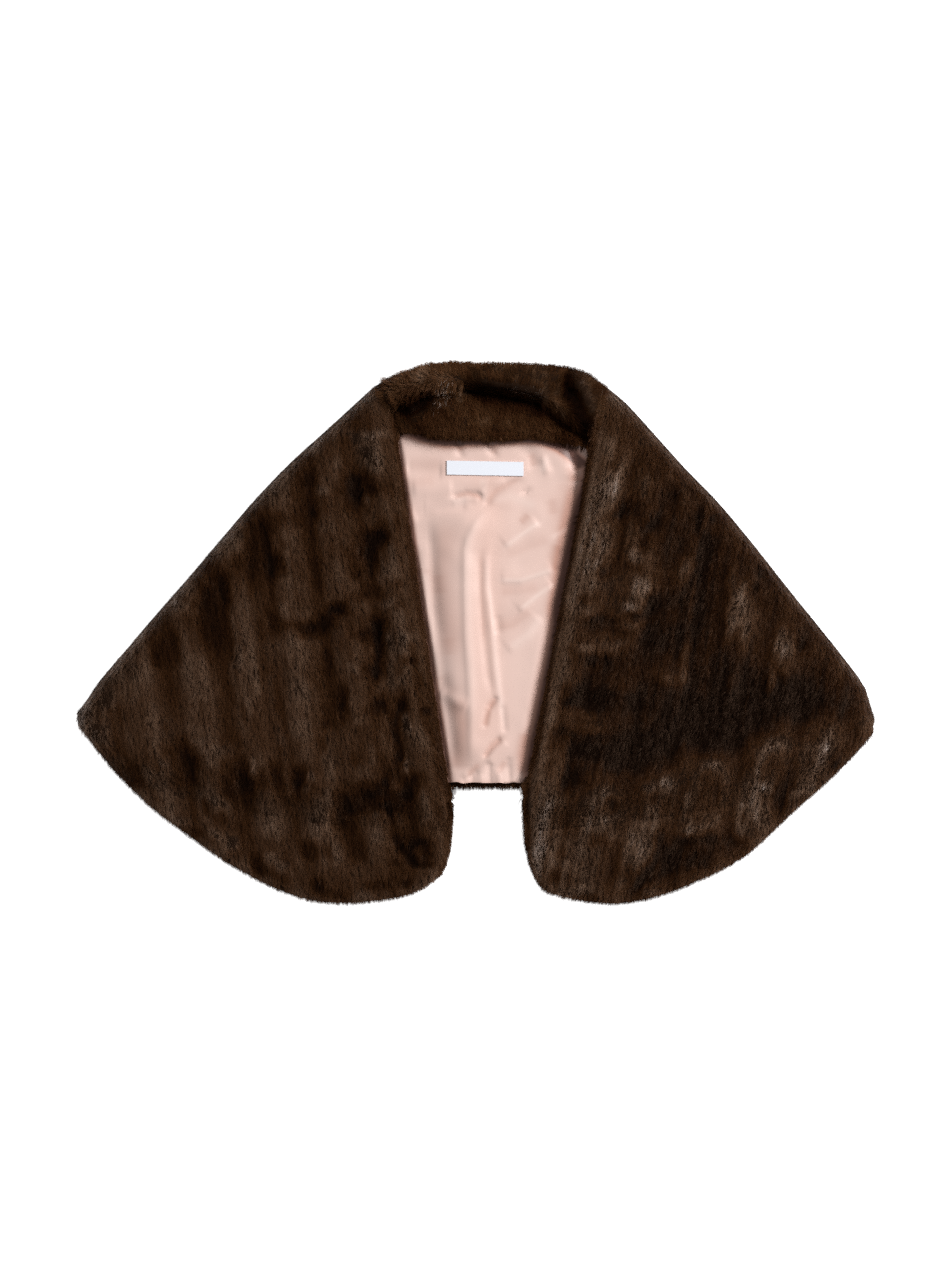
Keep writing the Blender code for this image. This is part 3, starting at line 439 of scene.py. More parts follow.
    (94, -192, 8, 7, -0.09), (84, -215, 6, 4, -0.12),
    (125, -67, 17, 8, -0.09), (72, -105, 4, 12, -0.14), (145, -148, 16, 6, -0.09),
    (64, -212, 8, 9, 0.12), (62, -185, 5, 16, 0.08), (112, -176, 10, 9, 0.10),
    (104, -208, 6, 14, 0.09), (217, 112, 4, 20, -0.08), (226, 75, 3, 20, -0.06),
    (242, 62, 4, 24, -0.07), (229, -85, 3, 14, -0.06), (172, -90, 4, 12, -0.07),
    (258, 25, 5, 14, 0.08), (263, 5, 4, 8, 0.09), (160, 45, 7, 10, 0.08), (152, 27, 8, 4, 0.08),
    (130, 140, 10, 8, 0.08), (141, 150, 4, 14, 0.08), (202, 146, 4, 6, 0.10),
    (245, 102, 5, 5, 0.10), (294, 42, 6, 5, 0.08), (269, 63, 5, 5, 0.11), (301, -15, 3, 8, 0.10),
    (196, -68, 3, 12, 0.08), (350, -60, 5, 10, -0.05), (371, -60, 4, 10, -0.08),
    (376, -72, 3, 6, 0.10), (330, -98, 5, 5, -0.10), (345, -105, 5, 12, 0.08),
    (333, -127, 9, 6, 0.06), (325, -145, 8, 5, 0.08), (296, -45, 4, 6, -0.10),
    (237, -18, 3, 13, -0.08), (188, -5, 3, 14, -0.08), (205, -20, 4, 10, 0.05),
    (105, -13, 8, 5, 0.09), (120, 18, 4, 5, -0.10), (152, 18, 9, 4, -0.09),
    (130, 66, 9, 4, -0.12), (164, 82, 5, 5, -0.12), (152, 75, 4, 6, 0.12),
)
print(len(RIGHT_PATCHES), "patches on the right front")

# %% Brush lines and the painted lighter rim
# change of shade, half width on each side, the line it follows: nap lines, the lighter ones
# partly painted sheen, the darker ones partly painted shade
LEFT_STREAKS = (
    (0.08, 5, 5, (-118, 30), (-104, 22), (-98, 40)),
    (0.08, 4, 4, (-66, -84), (-64, -118)),
    (-0.18, 4, 4, (-160, 168), (-160, 140), (-155, 112)),
    (0.18, 6, 6, (-201, -35), (-197, -75), (-188, -112)),
    (-0.10, 4, 4, (-48, -70), (-41, -105), (-34, -148)),
    (-0.36, 4, 4, (-95, 10), (-95, -16), (-98, -48)),
)
RIGHT_STREAKS = (
    (0.20, 4, 4, (168, 155), (164, 130)), (0.26, 5, 5, (208, 75), (202, 49)),
    (0.22, 6, 7, (98, -13), (120, -17), (137, -12), (163, 6)),
    (0.12, 4, 4, (203, -36), (200, -58)),
    (0.20, 5, 5, (166, -159), (175, -146), (188, -142), (197, -150)),
    (0.12, 4, 4, (192, -159), (187, -184)), (0.20, 6, 6, (216, -140), (209, -163), (205, -186)),
    (0.22, 6, 6, (218, -133), (229, -126), (241, -133), (246, -149)),
    (0.17, 5, 5, (246, -149), (242, -169), (236, -186)),
    (0.28, 8, 8, (205, -188), (216, -192), (230, -188), (239, -175)),
    (0.24, 6, 6, (280, -142), (277, -130), (282, -116), (293, -107), (305, -106), (310, -114)),
    (0.16, 4, 4, (305, -119), (299, -134), (293, -146)),
    (0.20, 4, 4, (259, -202), (256, -183), (263, -163)), (0.14, 5, 5, (285, -153), (276, -143)),
    (0.12, 5, 5, (129, -147), (116, -171)), (-0.18, 6, 6, (182, -190), (172, -224), (157, -251)),
    (-0.20, 4, 4, (92, -110), (86, -149)), (-0.15, 5, 5, (92, -112), (122, -116)),
    (-0.16, 3, 3, (225, 106), (218, 69)), (-0.12, 3, 3, (141, 99), (122, 60)),
    (-0.12, 3, 3, (133, 60), (151, 65)), (-0.14, 3, 3, (218, 32), (213, -7), (209, -46)),
    (-0.12, 3, 3, (354, -112), (352, -136)), (-0.14, 3, 3, (129, -162), (139, -171)),
    (-0.14, 4, 4, (205, -200), (237, -202)), (-0.10, 3, 3, (188, -153), (183, -181)),
    (-0.10, 3, 3, (151, 159), (143, 130)), (-0.14, 4, 4, (106, -28), (98, -65)),
    (-0.16, 8, 8, (230, 100), (222, 60), (217, 28)),
    (-0.10, 5, 5, (262, -20), (256, -60), (250, -100)), (-0.10, 4, 4, (205, 110), (201, 75)),
    (-0.14, 6, 6, (112, -21), (133, -27), (150, -27), (162, -12), (168, 6)),
    (-0.14, 5, 5, (152, 16), (166, 24), (176, 38)),
    (-0.12, 2, 2, (211, 125), (203, 40), (192, -46)),
    (-0.12, 2, 2, (221, 105), (213, 20), (204, -70)),
    (-0.12, 2, 2, (236, 80), (228, 10), (219, -80)),
    (-0.10, 2, 2, (250, 30), (243, -30), (236, -100)),
    (-0.10, 2, 2, (272, 10), (262, -50), (254, -110)),
    (-0.10, 2, 2, (180, 110), (172, 40), (165, -20)), (-0.10, 2, 2, (292, -50), (286, -96)),
    (-0.08, 2, 2, (160, 170), (150, 110)),
)

# Painted rim light, lighter hair where the fur rounds away at the outline: along the shoulder
# fold, then from the point back along the hem
LEFT_RIM_LIGHT = (
    (0.24, 9, 9, (-80, 258), (-215, 131), (-342, -16), (-388, -78), (-398, -100)),
    (0.15, 8, 8, (-400, -70), (-379, -103), (-321, -169), (-243, -226), (-163, -262), (-92, -262),
     (-41, -244), (-24, -212), (-20, -180)),
)
RIGHT_RIM_LIGHT = (
    (0.18, 8, 8, (110, 258), (204, 162), (338, 4), (381, -54), (392, -90), (396, -110)),
    (0.18, 8, 8, (398, -80), (351, -141), (266, -218), (180, -258), (105, -263), (76, -256)),
)
print(len(LEFT_STREAKS) + len(RIGHT_STREAKS), "brush lines on the fronts")


# %% Places on a front
def from_edge(x, y, edge):
    """Sideways distance from a front edge."""
    edge_x, edge_y = np.array(edge[::-1]).T
    return np.abs(x - np.interp(y, edge_y, edge_x))


def patchwork(x, y, patches, lie):
    """Sum of soft blocks. Each is longer along the lie of the fur than across it, or the other way."""
    total = np.zeros(np.shape(x))
    for at_x, at_y, across, along, change in patches:
        down = (y - at_y) / along
        side = (x - at_x + lie * (y - at_y)) / across
        total += change * np.exp(-(down**2) ** 2 - (side**2) ** 2)
    return total


# %% Shade from the tables
STRIP_SWAY, STRIP_SPOT = 3.0, 45.0   # the strips wander by this much over such a length


def strips(x, y, edge, bands):
    """Sum of the long strips, each with flat shade across its middle and soft sides."""
    away = from_edge(x, y, edge) + STRIP_SWAY * drift(x, y, STRIP_SPOT, 5)
    return sum(change * np.exp(-(((away - centre) / half) ** 4)) for centre, half, change in bands)


def on_line(x, y, line):
    """Distance to a line, the side (1 to its left, -1 to its right) and the share along it."""
    points = np.array(line, float)
    runs = np.linalg.norm(np.diff(points, axis=0), axis=1)
    done = np.concatenate(([0.0], np.cumsum(runs))) / runs.sum()
    best, side, where = (np.full(np.shape(x), v) for v in (1e9, 1.0, 0.0))
    for (x1, y1), (x2, y2), start, end in zip(points[:-1], points[1:], done[:-1], done[1:]):
        dx, dy = x2 - x1, y2 - y1
        share = np.clip(((x - x1) * dx + (y - y1) * dy) / (dx * dx + dy * dy), 0, 1)
        gap = np.hypot(x - x1 - share * dx, y - y1 - share * dy)
        nearer = gap < best
        best = np.where(nearer, gap, best)
        side = np.where(nearer, np.sign(dx * (y - y1) - dy * (x - x1)), side)
        where = np.where(nearer, start + share * (end - start), where)
    return best, side, where


LINE_END = 0.3            # how much of a line's strength is left at its very ends


def lined(x, y, rows, fade=0.15):
    """Sum of soft ridges or grooves. A row: change, half width left, half width right, the line."""
    total = np.zeros(np.shape(x))
    for change, left, right, *line in rows:
        gap, side, where = on_line(x, y, line)
        ends = smooth(where / fade + LINE_END) * smooth((1.0 - where) / fade + LINE_END)
        total += change * ends * np.exp(-((gap / np.where(side > 0, left, right)) ** 2))
    return total


RAGGED_X, RAGGED_Y = (1.6, 9.0), (2.4, 12.0)    # how far the marks' borders stray, and how often


def front_tone(x, y, edge, bands, patches, streaks, lie):
    """Shade of the fur from its strip and its pressed or ruffled patches, with painted sheen and shade.
    """
    moved_x = x + RAGGED_X[0] * drift(x, y, RAGGED_X[1], 7)
    moved_y = y + RAGGED_Y[0] * drift(x, y, RAGGED_Y[1], 8)
    marks = patchwork(moved_x, moved_y, patches, lie) + lined(moved_x, moved_y, streaks)
    return strips(x, y, edge, bands) + marks


# %% Shade of a front
LIT_FROM, LIT_GAIN = 0.37, 0.15          # painted sheen: brushed-up fur is made lighter than its rows say
SILVER_FROM, SILVER_LOSS = 0.65, 0.3     # but the painted sheen seldom turns quite silver
RIM_FADE = 0.04           # the painted lighter rim ends within this share of its length
CLOUD, CLOUD_SPOT = 0.03, 24.0
# nap lines and small tufts: strength, width, stretch down the nap, seed
NAP_MARKS = ((0.03, 2.4, 0.15, 9), (0.03, 8.0, 0.3, 10))
PARTING_WIDTH, PARTING_STRETCH, PARTING_FROM, PARTING_SOFT = 5.0, 0.04, 0.45, 0.3
STRAND_SHARE, STRAND_WIDTH, STRAND_STRETCH = 0.4, 4.0, 0.06    # strands between the partings


def front_shade(x, y, base, edge, bands, patches, streaks, lie, rim, parted):
    """The same with a painted lighter rim, soft clouds, nap lines, small tufts and thin dark partings."""
    across = x + lie * y
    tone = base + front_tone(x, y, edge, bands, patches, streaks, lie) + lined(x, y, rim, RIM_FADE)
    tone = tone + LIT_GAIN * np.maximum(tone - LIT_FROM, 0.0)
    tone = tone - SILVER_LOSS * np.maximum(tone - SILVER_FROM, 0.0)
    tone = tone + CLOUD * drift(x, y, CLOUD_SPOT, 6)
    for strength, width, stretch, seed in NAP_MARKS:
        tone = tone + strength * drift(across, stretch * y, width, seed)
    parting = drift(across, PARTING_STRETCH * y, PARTING_WIDTH, 15)
    parting = smooth((parting - PARTING_FROM) / PARTING_SOFT)
    strand = STRAND_SHARE * drift(across, STRAND_STRETCH * y, STRAND_WIDTH, 16)
    return tone + parted * (strand - parting)


# %% Marks of the collar
# where it is pinched: change of shade, half width on each side, the line. The change is painted
# shade in the crease, its pockets and under the lip, and painted light where the roll shades it
COLLAR_PAINTED_SHADE_AND_LIGHT = (
    (-0.46, 6, 5, (-74, 214), (-64, 219), (-53, 224), (-41, 236)),
    (-0.20, 6, 7, (-6, 232), (17, 229), (41, 224), (62, 218), (74, 211)),
    (-0.12, 7, 6, (-2, 239), (20, 239), (46, 235)),
    (-0.26, 3, 3, (70, 215), (84, 205), (95, 199)),
    (-0.40, 7, 8, (91, 240), (97, 226), (104, 212), (113, 188)),
    (-0.26, 4, 4, (88, 254), (88, 240), (92, 228)),
    (-0.02, 7, 7, (-68, 230), (-50, 243), (-28, 245), (-10, 243)),
    (0.14, 8, 8, (-14, 236), (-11, 226)),
    (0.10, 7, 7, (64, 240), (72, 229), (80, 219), (88, 212)),
    (0.10, 10, 10, (-64, 250), (-48, 258)), (0.14, 8, 8, (56, 257), (74, 250)),
    (0.20, 6, 7, (101, 248), (106, 232), (113, 212)), (-0.08, 8, 8, (-60, 204), (-36, 202)),
    (-0.12, 7, 7, (74, 197), (88, 192), (100, 188)),
    (-0.14, 1.8, 1.8, (-36, 222), (-31, 214), (-24, 208)), (-0.12, 3, 3, (-8, 256), (-6, 246)),
    (-0.10, 3, 3, (76, 262), (72, 252)), (0.06, 6, 5, (0, 208), (40, 206)),
)
# hairs that catch the light, painted as single bright glints: chance, half widths, the line
GLINTING_HAIRS = (
    (0.16, 6, 6, (-38, 221), (-28, 241)), (0.30, 3, 3, (28, 239), (48, 237), (66, 231)),
)
COLLAR_PRESSES = (
    (5.0, 7, 7, (-70, 224), (-58, 236), (-49, 242), (-30, 244), (-8, 242)),
    (5.0, 7, 7, (0, 241), (48, 234), (62, 229)),
    (7.0, 6, 6, (64, 228), (78, 220), (88, 212), (97, 203)),
    (-5.0, 4, 4, (-74, 214), (-62, 219), (-52, 224), (-41, 235)),
    (-4.0, 3, 3, (70, 215), (84, 205), (95, 199)),
    (-5.0, 7, 6, (93, 236), (98, 222), (105, 208), (114, 186)),
    (-5.0, 5, 5, (88, 266), (88, 240), (92, 226)), (-2.5, 7, 7, (-8, 266), (-6, 248)),
    (-2.0, 8, 8, (-52, 264), (-46, 246)), (1.5, 12, 12, (-30, 254), (-26, 252)),
    (1.5, 14, 12, (40, 252), (46, 250)), (2.5, 6, 7, (101, 248), (106, 230), (113, 212)),
    (-1.5, 3, 3, (-36, 222), (-31, 214), (-24, 208)),
)

# where hair of the roll hangs over the crease above the band, and so hides it
BRIDGED = (
    (1.0, 8, 8, (-68, 226), (-60, 234), (-49, 242), (-30, 244), (-10, 243)),
    (0.35, 8, 8, (0, 241), (48, 234)),
    (1.0, 8, 8, (62, 230), (76, 222), (88, 212), (98, 201)),
)
print(len(COLLAR_PRESSES), "presses on the collar")


# %% [markdown]
# ## The cloth skins
# Under its hair each panel is a knitted backing. A cloth could be draped by simulation, but then
# it would lie another way each time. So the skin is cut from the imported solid: its loose triangles
# are merged, it is drawn in so that the hair has room, and divided for its relief.

# %% From solid to piece
SAME_CORNER = 0.02        # corners of the solid nearer than this are one
NEARLY_FOLDED = 3.1       # radians
FURRED = ("left_front", "right_front", "back_panel", "collar_fall", "collar_stand")


def merged(node):
    """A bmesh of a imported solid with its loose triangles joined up, at any angle but a fold."""
    bm = bmesh.new()
    bm.from_mesh(frame["nodes"][node].data)
    bmesh.ops.remove_doubles(bm, verts=bm.verts[:], dist=SAME_CORNER * MM)
    bmesh.ops.join_triangles(
        bm, faces=bm.faces[:], angle_face_threshold=NEARLY_FOLDED, angle_shape_threshold=NEARLY_FOLDED
    )
    return bm


def tree_of(nodes):
    """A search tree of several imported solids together."""
    points, faces = [], []
    for node in nodes:
        mesh = frame["nodes"][node].data
        start = len(points)
        points += [tuple(v.co) for v in mesh.vertices]
        faces += [[start + i for i in polygon.vertices] for polygon in mesh.polygons]
    return BVHTree.FromPolygons(points, faces)


def piece_from(bm, name, material):
    """A shown object with smooth faces from a bmesh."""
    mesh = bpy.data.meshes.new(name)
    bm.to_mesh(mesh)
    bm.free()
    mesh.materials.append(material)
    mesh.shade_smooth()
    piece = put_out(name, mesh)
    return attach(piece, "root")


def made_final(piece):
    """The piece's modifiers become its mesh."""
    ready = piece.evaluated_get(bpy.context.evaluated_depsgraph_get())
    mesh = bpy.data.meshes.new_from_object(ready)
    piece.modifiers.clear()
    piece.data = mesh
    mesh.name = piece.name
    return piece


# %% One skin
DRAW_IN = 1.8             # how far a skin lies inside its solid
THIN_SHARE = 0.28         # but never more than this share of its thickness
SEAM_REACH = 5.0          # and less where it is sewn to the next one, within this distance
SEAM_GAP = 0.6            # pieces nearer than this count as sewn together
DEEPEST_DENT = 0.3        # a dent takes at most this share of the height under it


def skin(node, name, material, relief, levels):
    """A furred solid's cloth: drawn in, divided, and lifted or dented by its relief."""
    bm = merged(node)
    bm.normal_update()
    tree = BVHTree.FromBMesh(bm)
    others = tree_of([other for other in FURRED if other != node])
    moves = []
    for vertex in bm.verts:
        inward = -vertex.normal
        _, _, _, deep = tree.ray_cast(vertex.co + inward * 0.05 * MM, inward)
        room = THIN_SHARE * (deep if deep else 0.0)
        _, _, _, gap = others.find_nearest(vertex.co)
        free = float(smooth((gap / MM - SEAM_GAP) / SEAM_REACH))
        moves.append(inward * min(DRAW_IN * MM, room) * free)
    for vertex, move in zip(bm.verts, moves):
        vertex.co += move
    piece = piece_from(bm, name, material)
    divide = piece.modifiers.new("divide", "SUBSURF")
    divide.subdivision_type, divide.levels, divide.render_levels = "SIMPLE", levels, levels
    made_final(piece)
    count = len(piece.data.vertices)
    place, normal = (np.zeros(count * 3) for _ in range(2))
    piece.data.vertices.foreach_get("co", place)
    piece.data.vertex_normals.foreach_get("vector", normal)
    place, normal = place.reshape(-1, 3), normal.reshape(-1, 3)
    x, y, z = place.T / MM
    rise = np.maximum(relief(x, y), -DEEPEST_DENT * z) * np.clip(normal[:, 2], 0.0, 1.0)
    place[:, 2] += rise * MM
    piece.data.vertices.foreach_set("co", place.ravel())
    piece.data.update()
    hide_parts(node)
    return piece


# %% [markdown]
# ## The finishes of the fur
# Faux mink is a knitted acrylic pile: a dense dark underfur with longer guard hairs, dyed deep
# brown. Each hair is darker at its root, which is painted shade of the hair around it. A hair keeps
# its place along itself and its own shade in a UV map, so one material serves every hair: across
# the map from root to tip, up the map from the darkest strand to the silvery ones. The lighter,
# greyer end of that map also carries painted sheen and glints.

# %% Backing
BACKING_DYE_AND_SHADE = ((0.0, "100905"), (1.0, "22140b"))
KNIT_GRAIN = 3.125        # a few stitches of the knit, as single ones don't show


def knitted_backing():
    """Acrylic knit under the pile: matt, nearly black-brown, partly painted shade so gaps read as depth.
    """
    material, tree, shader = new_material("knitted acrylic backing")
    place = add(tree, "ShaderNodeTexCoord", {}).outputs["Object"]
    clumps = add(tree, "ShaderNodeTexNoise", {
        "Vector": place, "Scale": 1.0 / (KNIT_GRAIN * MM), "Detail": 3.0,
    })
    tint = add(tree, "ShaderNodeValToRGB", {"Fac": clumps.outputs["Fac"]}, BACKING_DYE_AND_SHADE)
    fill(shader, {
        "Base Color": tint.outputs["Color"], "Roughness": 0.9, "Specular IOR Level": 0.03,
    })
    return material


backing = knitted_backing()
print(backing.name)

# %% Hair
HAIR_MAP = "OFBake"
# both dyes run from dark brown to silver; their lighter, greyer end carries painted sheen and glints
FRONT_DYE_AND_SHEEN = (
    (0.0, "110805"), (0.2, "2a1609"), (0.35, "3b2312"), (0.5, "4c3424"), (0.7, "705746"),
    (0.85, "947f72"), (1.0, "cdc3be"),
)
COLLAR_DYE_AND_SHEEN = (
    (0.0, "0f0604"), (0.2, "291409"), (0.35, "3d2312"), (0.5, "513520"), (0.7, "785d49"),
    (0.85, "a59187"), (1.0, "e4d8d0"),
)
ROOT_SHADE, TIP_SHADE = 0.52, 1.05    # a hair's root is in the dark, its tip in the light


def dyed_hair(name, dye):
    """Acrylic fibre, drawn and dyed: smooth, so it shines along its side, with no coat."""
    material, tree, shader = new_material(name)
    hair = add(tree, "ShaderNodeUVMap", {}, uv_map=HAIR_MAP)
    parts = add(tree, "ShaderNodeSeparateXYZ", {"Vector": hair.outputs["UV"]})
    tint = add(tree, "ShaderNodeValToRGB", {"Fac": parts.outputs["Y"]}, dye)
    # painted shade: the colour darkens towards each hair's root
    depth = add(tree, "ShaderNodeMapRange", {
        "Value": parts.outputs["X"], "To Min": ROOT_SHADE, "To Max": TIP_SHADE,
    })
    colour = add(tree, "ShaderNodeMix", {
        "Factor": 1.0, "A": tint.outputs["Color"], "B": depth.outputs["Result"],
    }, data_type="RGBA", blend_type="MULTIPLY")
    fill(shader, {
        "Base Color": colour.outputs["Result"], "Roughness": 0.45,
        "Specular IOR Level": 0.14, "Specular Tint": linear("c89c7c"),
    })
    return material


front_hair = dyed_hair("dyed acrylic hair", FRONT_DYE_AND_SHEEN)
collar_hair = dyed_hair("dyed acrylic hair of the collar, warmer", COLLAR_DYE_AND_SHEEN)
print(front_hair.name, "and", collar_hair.name)


# %% [markdown]
# ## The five skins
# A pressed dent in the fur is also a dip in the cloth, so each skin is raised or lowered by the same
# tables that shade its hair. It could be sculpted, but a table keeps the two in step.

# %% Relief of the skins
RELIEF = 9.0              # millimetres of height for a whole step of shade
HIGHEST_RIDGE = 0.2       # the right front's ridges go no higher than for this shade
# soft waves and small tufts of the collar: height, width, seed
COLLAR_LUMPS = ((1.2, 17.0, 41), (0.9, 6.0, 42))


def left_relief(x, y):
    """Height of the left front's cloth over its solid."""
    return RELIEF * front_tone(x, y, LEFT_EDGE, (), LEFT_PATCHES, LEFT_STREAKS, LEFT_LIE)


def right_relief(x, y):
    """The same for the right front."""
    tone = front_tone(x, y, RIGHT_EDGE, (), RIGHT_PATCHES, RIGHT_STREAKS, RIGHT_LIE)
    return RELIEF * np.clip(tone, -1.0, HIGHEST_RIDGE)


def collar_relief(x, y):
    """The collar's presses, with soft waves and small tufts."""
    height = lined(x, y, COLLAR_PRESSES)
    for lump, width, seed in COLLAR_LUMPS:
        height = height + lump * drift(x, y, width, seed)
    return height


def no_relief(x, y):
    """Flat cloth."""
    return 0.0 * x


# %% Cut the five fur skins
RELIEFS = (left_relief, right_relief, no_relief, collar_relief, collar_relief)
CLOTHS = {
    node: skin(node, node + "_cloth", backing, relief, 1 if node == "back_panel" else 2)
    for node, relief in zip(FURRED, RELIEFS)
}
for node, cloth in CLOTHS.items():
    print(cloth.name, len(cloth.data.polygons), "faces")


# %% [markdown]
# ## Planting the hair
# A hair is one narrow blade. Geometry Nodes puts a copy of it on each root, turns it along the
# hair and towards the side that it shows, and makes the copies real. That is far quicker than
# drawing each hair, and all of them stay one mesh.

# %% The blade
def hair_blade():
    """One blade of unit size: a root edge and a tip."""
    bm = bmesh.new()
    along, side = (bm.verts.layers.float.new(n) for n in ("along", "side"))
    corners = []
    for x, y, sideways in ((-0.5, 0.0, -1.0), (0.5, 0.0, 1.0), (0.0, 1.0, 0.0)):
        vertex = bm.verts.new((x, y, 0.0))
        vertex[along], vertex[side] = y, sideways
        corners.append(vertex)
    bm.faces.new(corners)
    mesh = bpy.data.meshes.new("hair blade")
    bm.to_mesh(mesh)
    bm.free()
    return bpy.data.objects.new("hair blade", mesh)


blade = hair_blade()
print("a blade has", len(blade.data.vertices), "corners")

# %% The planting nodes
MAP_MARGIN = 0.02         # the map's rim is left free
BLADE_ON_MAP = 0.002      # half width of a hair on the map


def planting_nodes(blade):
    """A node group that puts a blade on each root and gives it its place on the hair's map."""
    group = bpy.data.node_groups.new("plant hairs", "GeometryNodeTree")
    group.interface.new_socket("Roots", in_out="INPUT", socket_type="NodeSocketGeometry")
    group.interface.new_socket("Hairs", in_out="OUTPUT", socket_type="NodeSocketGeometry")
    entry, leave = add(group, "NodeGroupInput", {}), add(group, "NodeGroupOutput", {})
    carried = {}
    for name, kind in (
        ("hair", "FLOAT_VECTOR"), ("facing", "FLOAT_VECTOR"), ("size", "FLOAT_VECTOR"),
        ("along", "FLOAT"), ("side", "FLOAT"), ("shade", "FLOAT"),
    ):
        found = add(group, "GeometryNodeInputNamedAttribute", {"Name": name}, data_type=kind)
        carried[name] = found.outputs["Attribute"]
    turned = add(group, "FunctionNodeAlignRotationToVector", {"Vector": carried["hair"]}, axis="Y")
    turned = add(
        group, "FunctionNodeAlignRotationToVector",
        {"Rotation": turned.outputs["Rotation"], "Vector": carried["facing"]},
        axis="Z", pivot_axis="Y",
    )
    source = add(group, "GeometryNodeObjectInfo", {"Object": blade})
    planted = add(group, "GeometryNodeInstanceOnPoints", {
        "Points": entry.outputs["Roots"], "Instance": source.outputs["Geometry"],
        "Rotation": turned.outputs["Rotation"], "Scale": carried["size"],
    })
    real = add(group, "GeometryNodeRealizeInstances", {"Geometry": planted.outputs["Instances"]})
    across = add(group, "ShaderNodeMapRange", {
        "Value": carried["along"], "To Min": MAP_MARGIN, "To Max": 1.0 - MAP_MARGIN,
    })
    up = add(group, "ShaderNodeMath", {
        0: carried["side"], 1: BLADE_ON_MAP, 2: carried["shade"],
    }, operation="MULTIPLY_ADD")
    spot = add(group, "ShaderNodeCombineXYZ", {"X": across.outputs["Result"], "Y": up.outputs[0]})
    mapped = add(group, "GeometryNodeStoreNamedAttribute", {
        "Geometry": real.outputs["Geometry"], "Name": HAIR_MAP, "Value": spot.outputs["Vector"],
    }, data_type="FLOAT2", domain="CORNER")
    fill(leave, {"Hairs": mapped.outputs["Geometry"]})
    return group


planting = planting_nodes(blade)
print("planting takes", len(planting.nodes), "nodes")


# %% [markdown]
# Each hair has a root on the skin, leans with the nap, and may stand only a little way out of the
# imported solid: one that would reach further is pushed back into the cloth.

# %% Roots
def roots_on(cloth, count, wanted, chance):
    """Random places on a cloth, more where wanted is higher, with the outward normal there."""
    mesh = cloth.data
    mesh.calc_loop_triangles()
    triangles = np.zeros(len(mesh.loop_triangles) * 3, int)
    mesh.loop_triangles.foreach_get("vertices", triangles)
    triangles = triangles.reshape(-1, 3)
    points, normals = (np.zeros(len(mesh.vertices) * 3) for _ in range(2))
    mesh.vertices.foreach_get("co", points)
    mesh.vertex_normals.foreach_get("vector", normals)
    points, normals = points.reshape(-1, 3)[triangles] / MM, normals.reshape(-1, 3)[triangles]
    crossed = np.cross(points[:, 1] - points[:, 0], points[:, 2] - points[:, 0])
    area = np.linalg.norm(crossed, axis=1)
    facing = crossed / np.maximum(area, 1e-12)[:, None]
    weight = area * wanted(points.mean(1), facing)
    picked = chance.choice(len(triangles), count, p=weight / weight.sum())
    share = chance.random((count, 2))
    over = share.sum(1) > 1.0
    share[over] = 1.0 - share[over]
    share = np.column_stack((share, 1.0 - share.sum(1)))[..., None]
    place = (points[picked] * share).sum(1)
    normal = (normals[picked] * share).sum(1)
    return place, normal / np.linalg.norm(normal, axis=1)[:, None]


def unit(vectors):
    """Vectors of length 1."""
    return vectors / np.maximum(np.linalg.norm(vectors, axis=1), 1e-9)[:, None]


# %% Tips near the solids
fur_solids = tree_of(FURRED)
print("hair is held to", len(FURRED), "solids")


def kept_in(place, hair, length, proud):
    """How far each hair is pushed back so that its tip stands at most proud out of the solids."""
    tips = (place + hair * length[:, None]) * MM
    push = np.zeros(place.shape)
    for index, tip in enumerate(tips.tolist()):
        near, normal, _, gap = fur_solids.find_nearest(tip)
        if (Vector(tip) - near).dot(normal) > 0.0:
            over = gap / MM - proud[index]
            if over > 0.0:
                push[index] = normal * -over
    return push


# %% Locks of hair
HAIRS_A_LOCK = 9          # hairs that hang together
LOCK_SHAPE = (1.0, 0.6, 1.0)    # a lock is longer down than across


def locks(place, chance):
    """Each hair's lock: the index of the hair that leads it."""
    leads = chance.choice(len(place), len(place) // HAIRS_A_LOCK, replace=False)
    place = place * LOCK_SHAPE
    tree = KDTree(len(leads))
    for spot, lead in zip(place[leads].tolist(), leads.tolist()):
        tree.insert(spot, lead)
    tree.balance()
    return np.array([tree.find(spot)[1] for spot in place.tolist()])


# %% [markdown]
# A pile is one layer of hair. A worn pile is never even: its nap drifts slowly over the cloth,
# each lock goes its own way, and so does each hair a little. Every random draw comes from one
# seeded source, so the fur grows the same each time.

# %% A pile of hair
# how far the nap swings sideways and lifts: a slow drift and its spots, each lock, each hair
SWING = (0.25, 9.0, 0.22, 0.10)
LIFT = (0.15, 7.0, 0.14, 0.06)
GATHER = 0.5              # how much a hair leans to the one that leads its lock
LEAST_RISE = 0.7          # a hair leaves the cloth by no less than this share of its rise
LENGTH_CHANGE, SHORTEST, LONGEST = 0.14, 0.6, 1.5
PROUD_CHANGE, PROUD_SPOT, LEAST_PROUD = 0.6, 8.0, 0.3    # tips stand out more in some spots
ROOT_DEPTH = 0.6          # a root lies this deep in the cloth
LOWEST_TIP = 0.4          # a hair stays this high over the floor
TURN = 0.25               # a hair is rolled this much about itself, in radians
SEEN_AT = 0.6             # a hair takes its shade from the place at this share of it
BRIDGE_REACH = 5.0        # hair that hangs over the crease may stand so far out
# the brighter the fur, from this shade on, the more its locks and hairs differ
BRIGHT_FROM, BRIGHT_MOST = 0.52, 0.3
LOCK_SHADE, HAIR_SHADE = (0.025, 0.06), (0.015, 0.03)


def varied(start, x, y, seed, amounts, lock, chance):
    """A value for each hair: from the start a slow drift, a change by lock and one of its own."""
    slow, spot, of_lock, of_hair = amounts
    value = start + slow * drift(x, y, spot, seed) + chance.normal(0.0, of_lock, len(x))[lock]
    return value + chance.normal(0.0, of_hair, len(x))


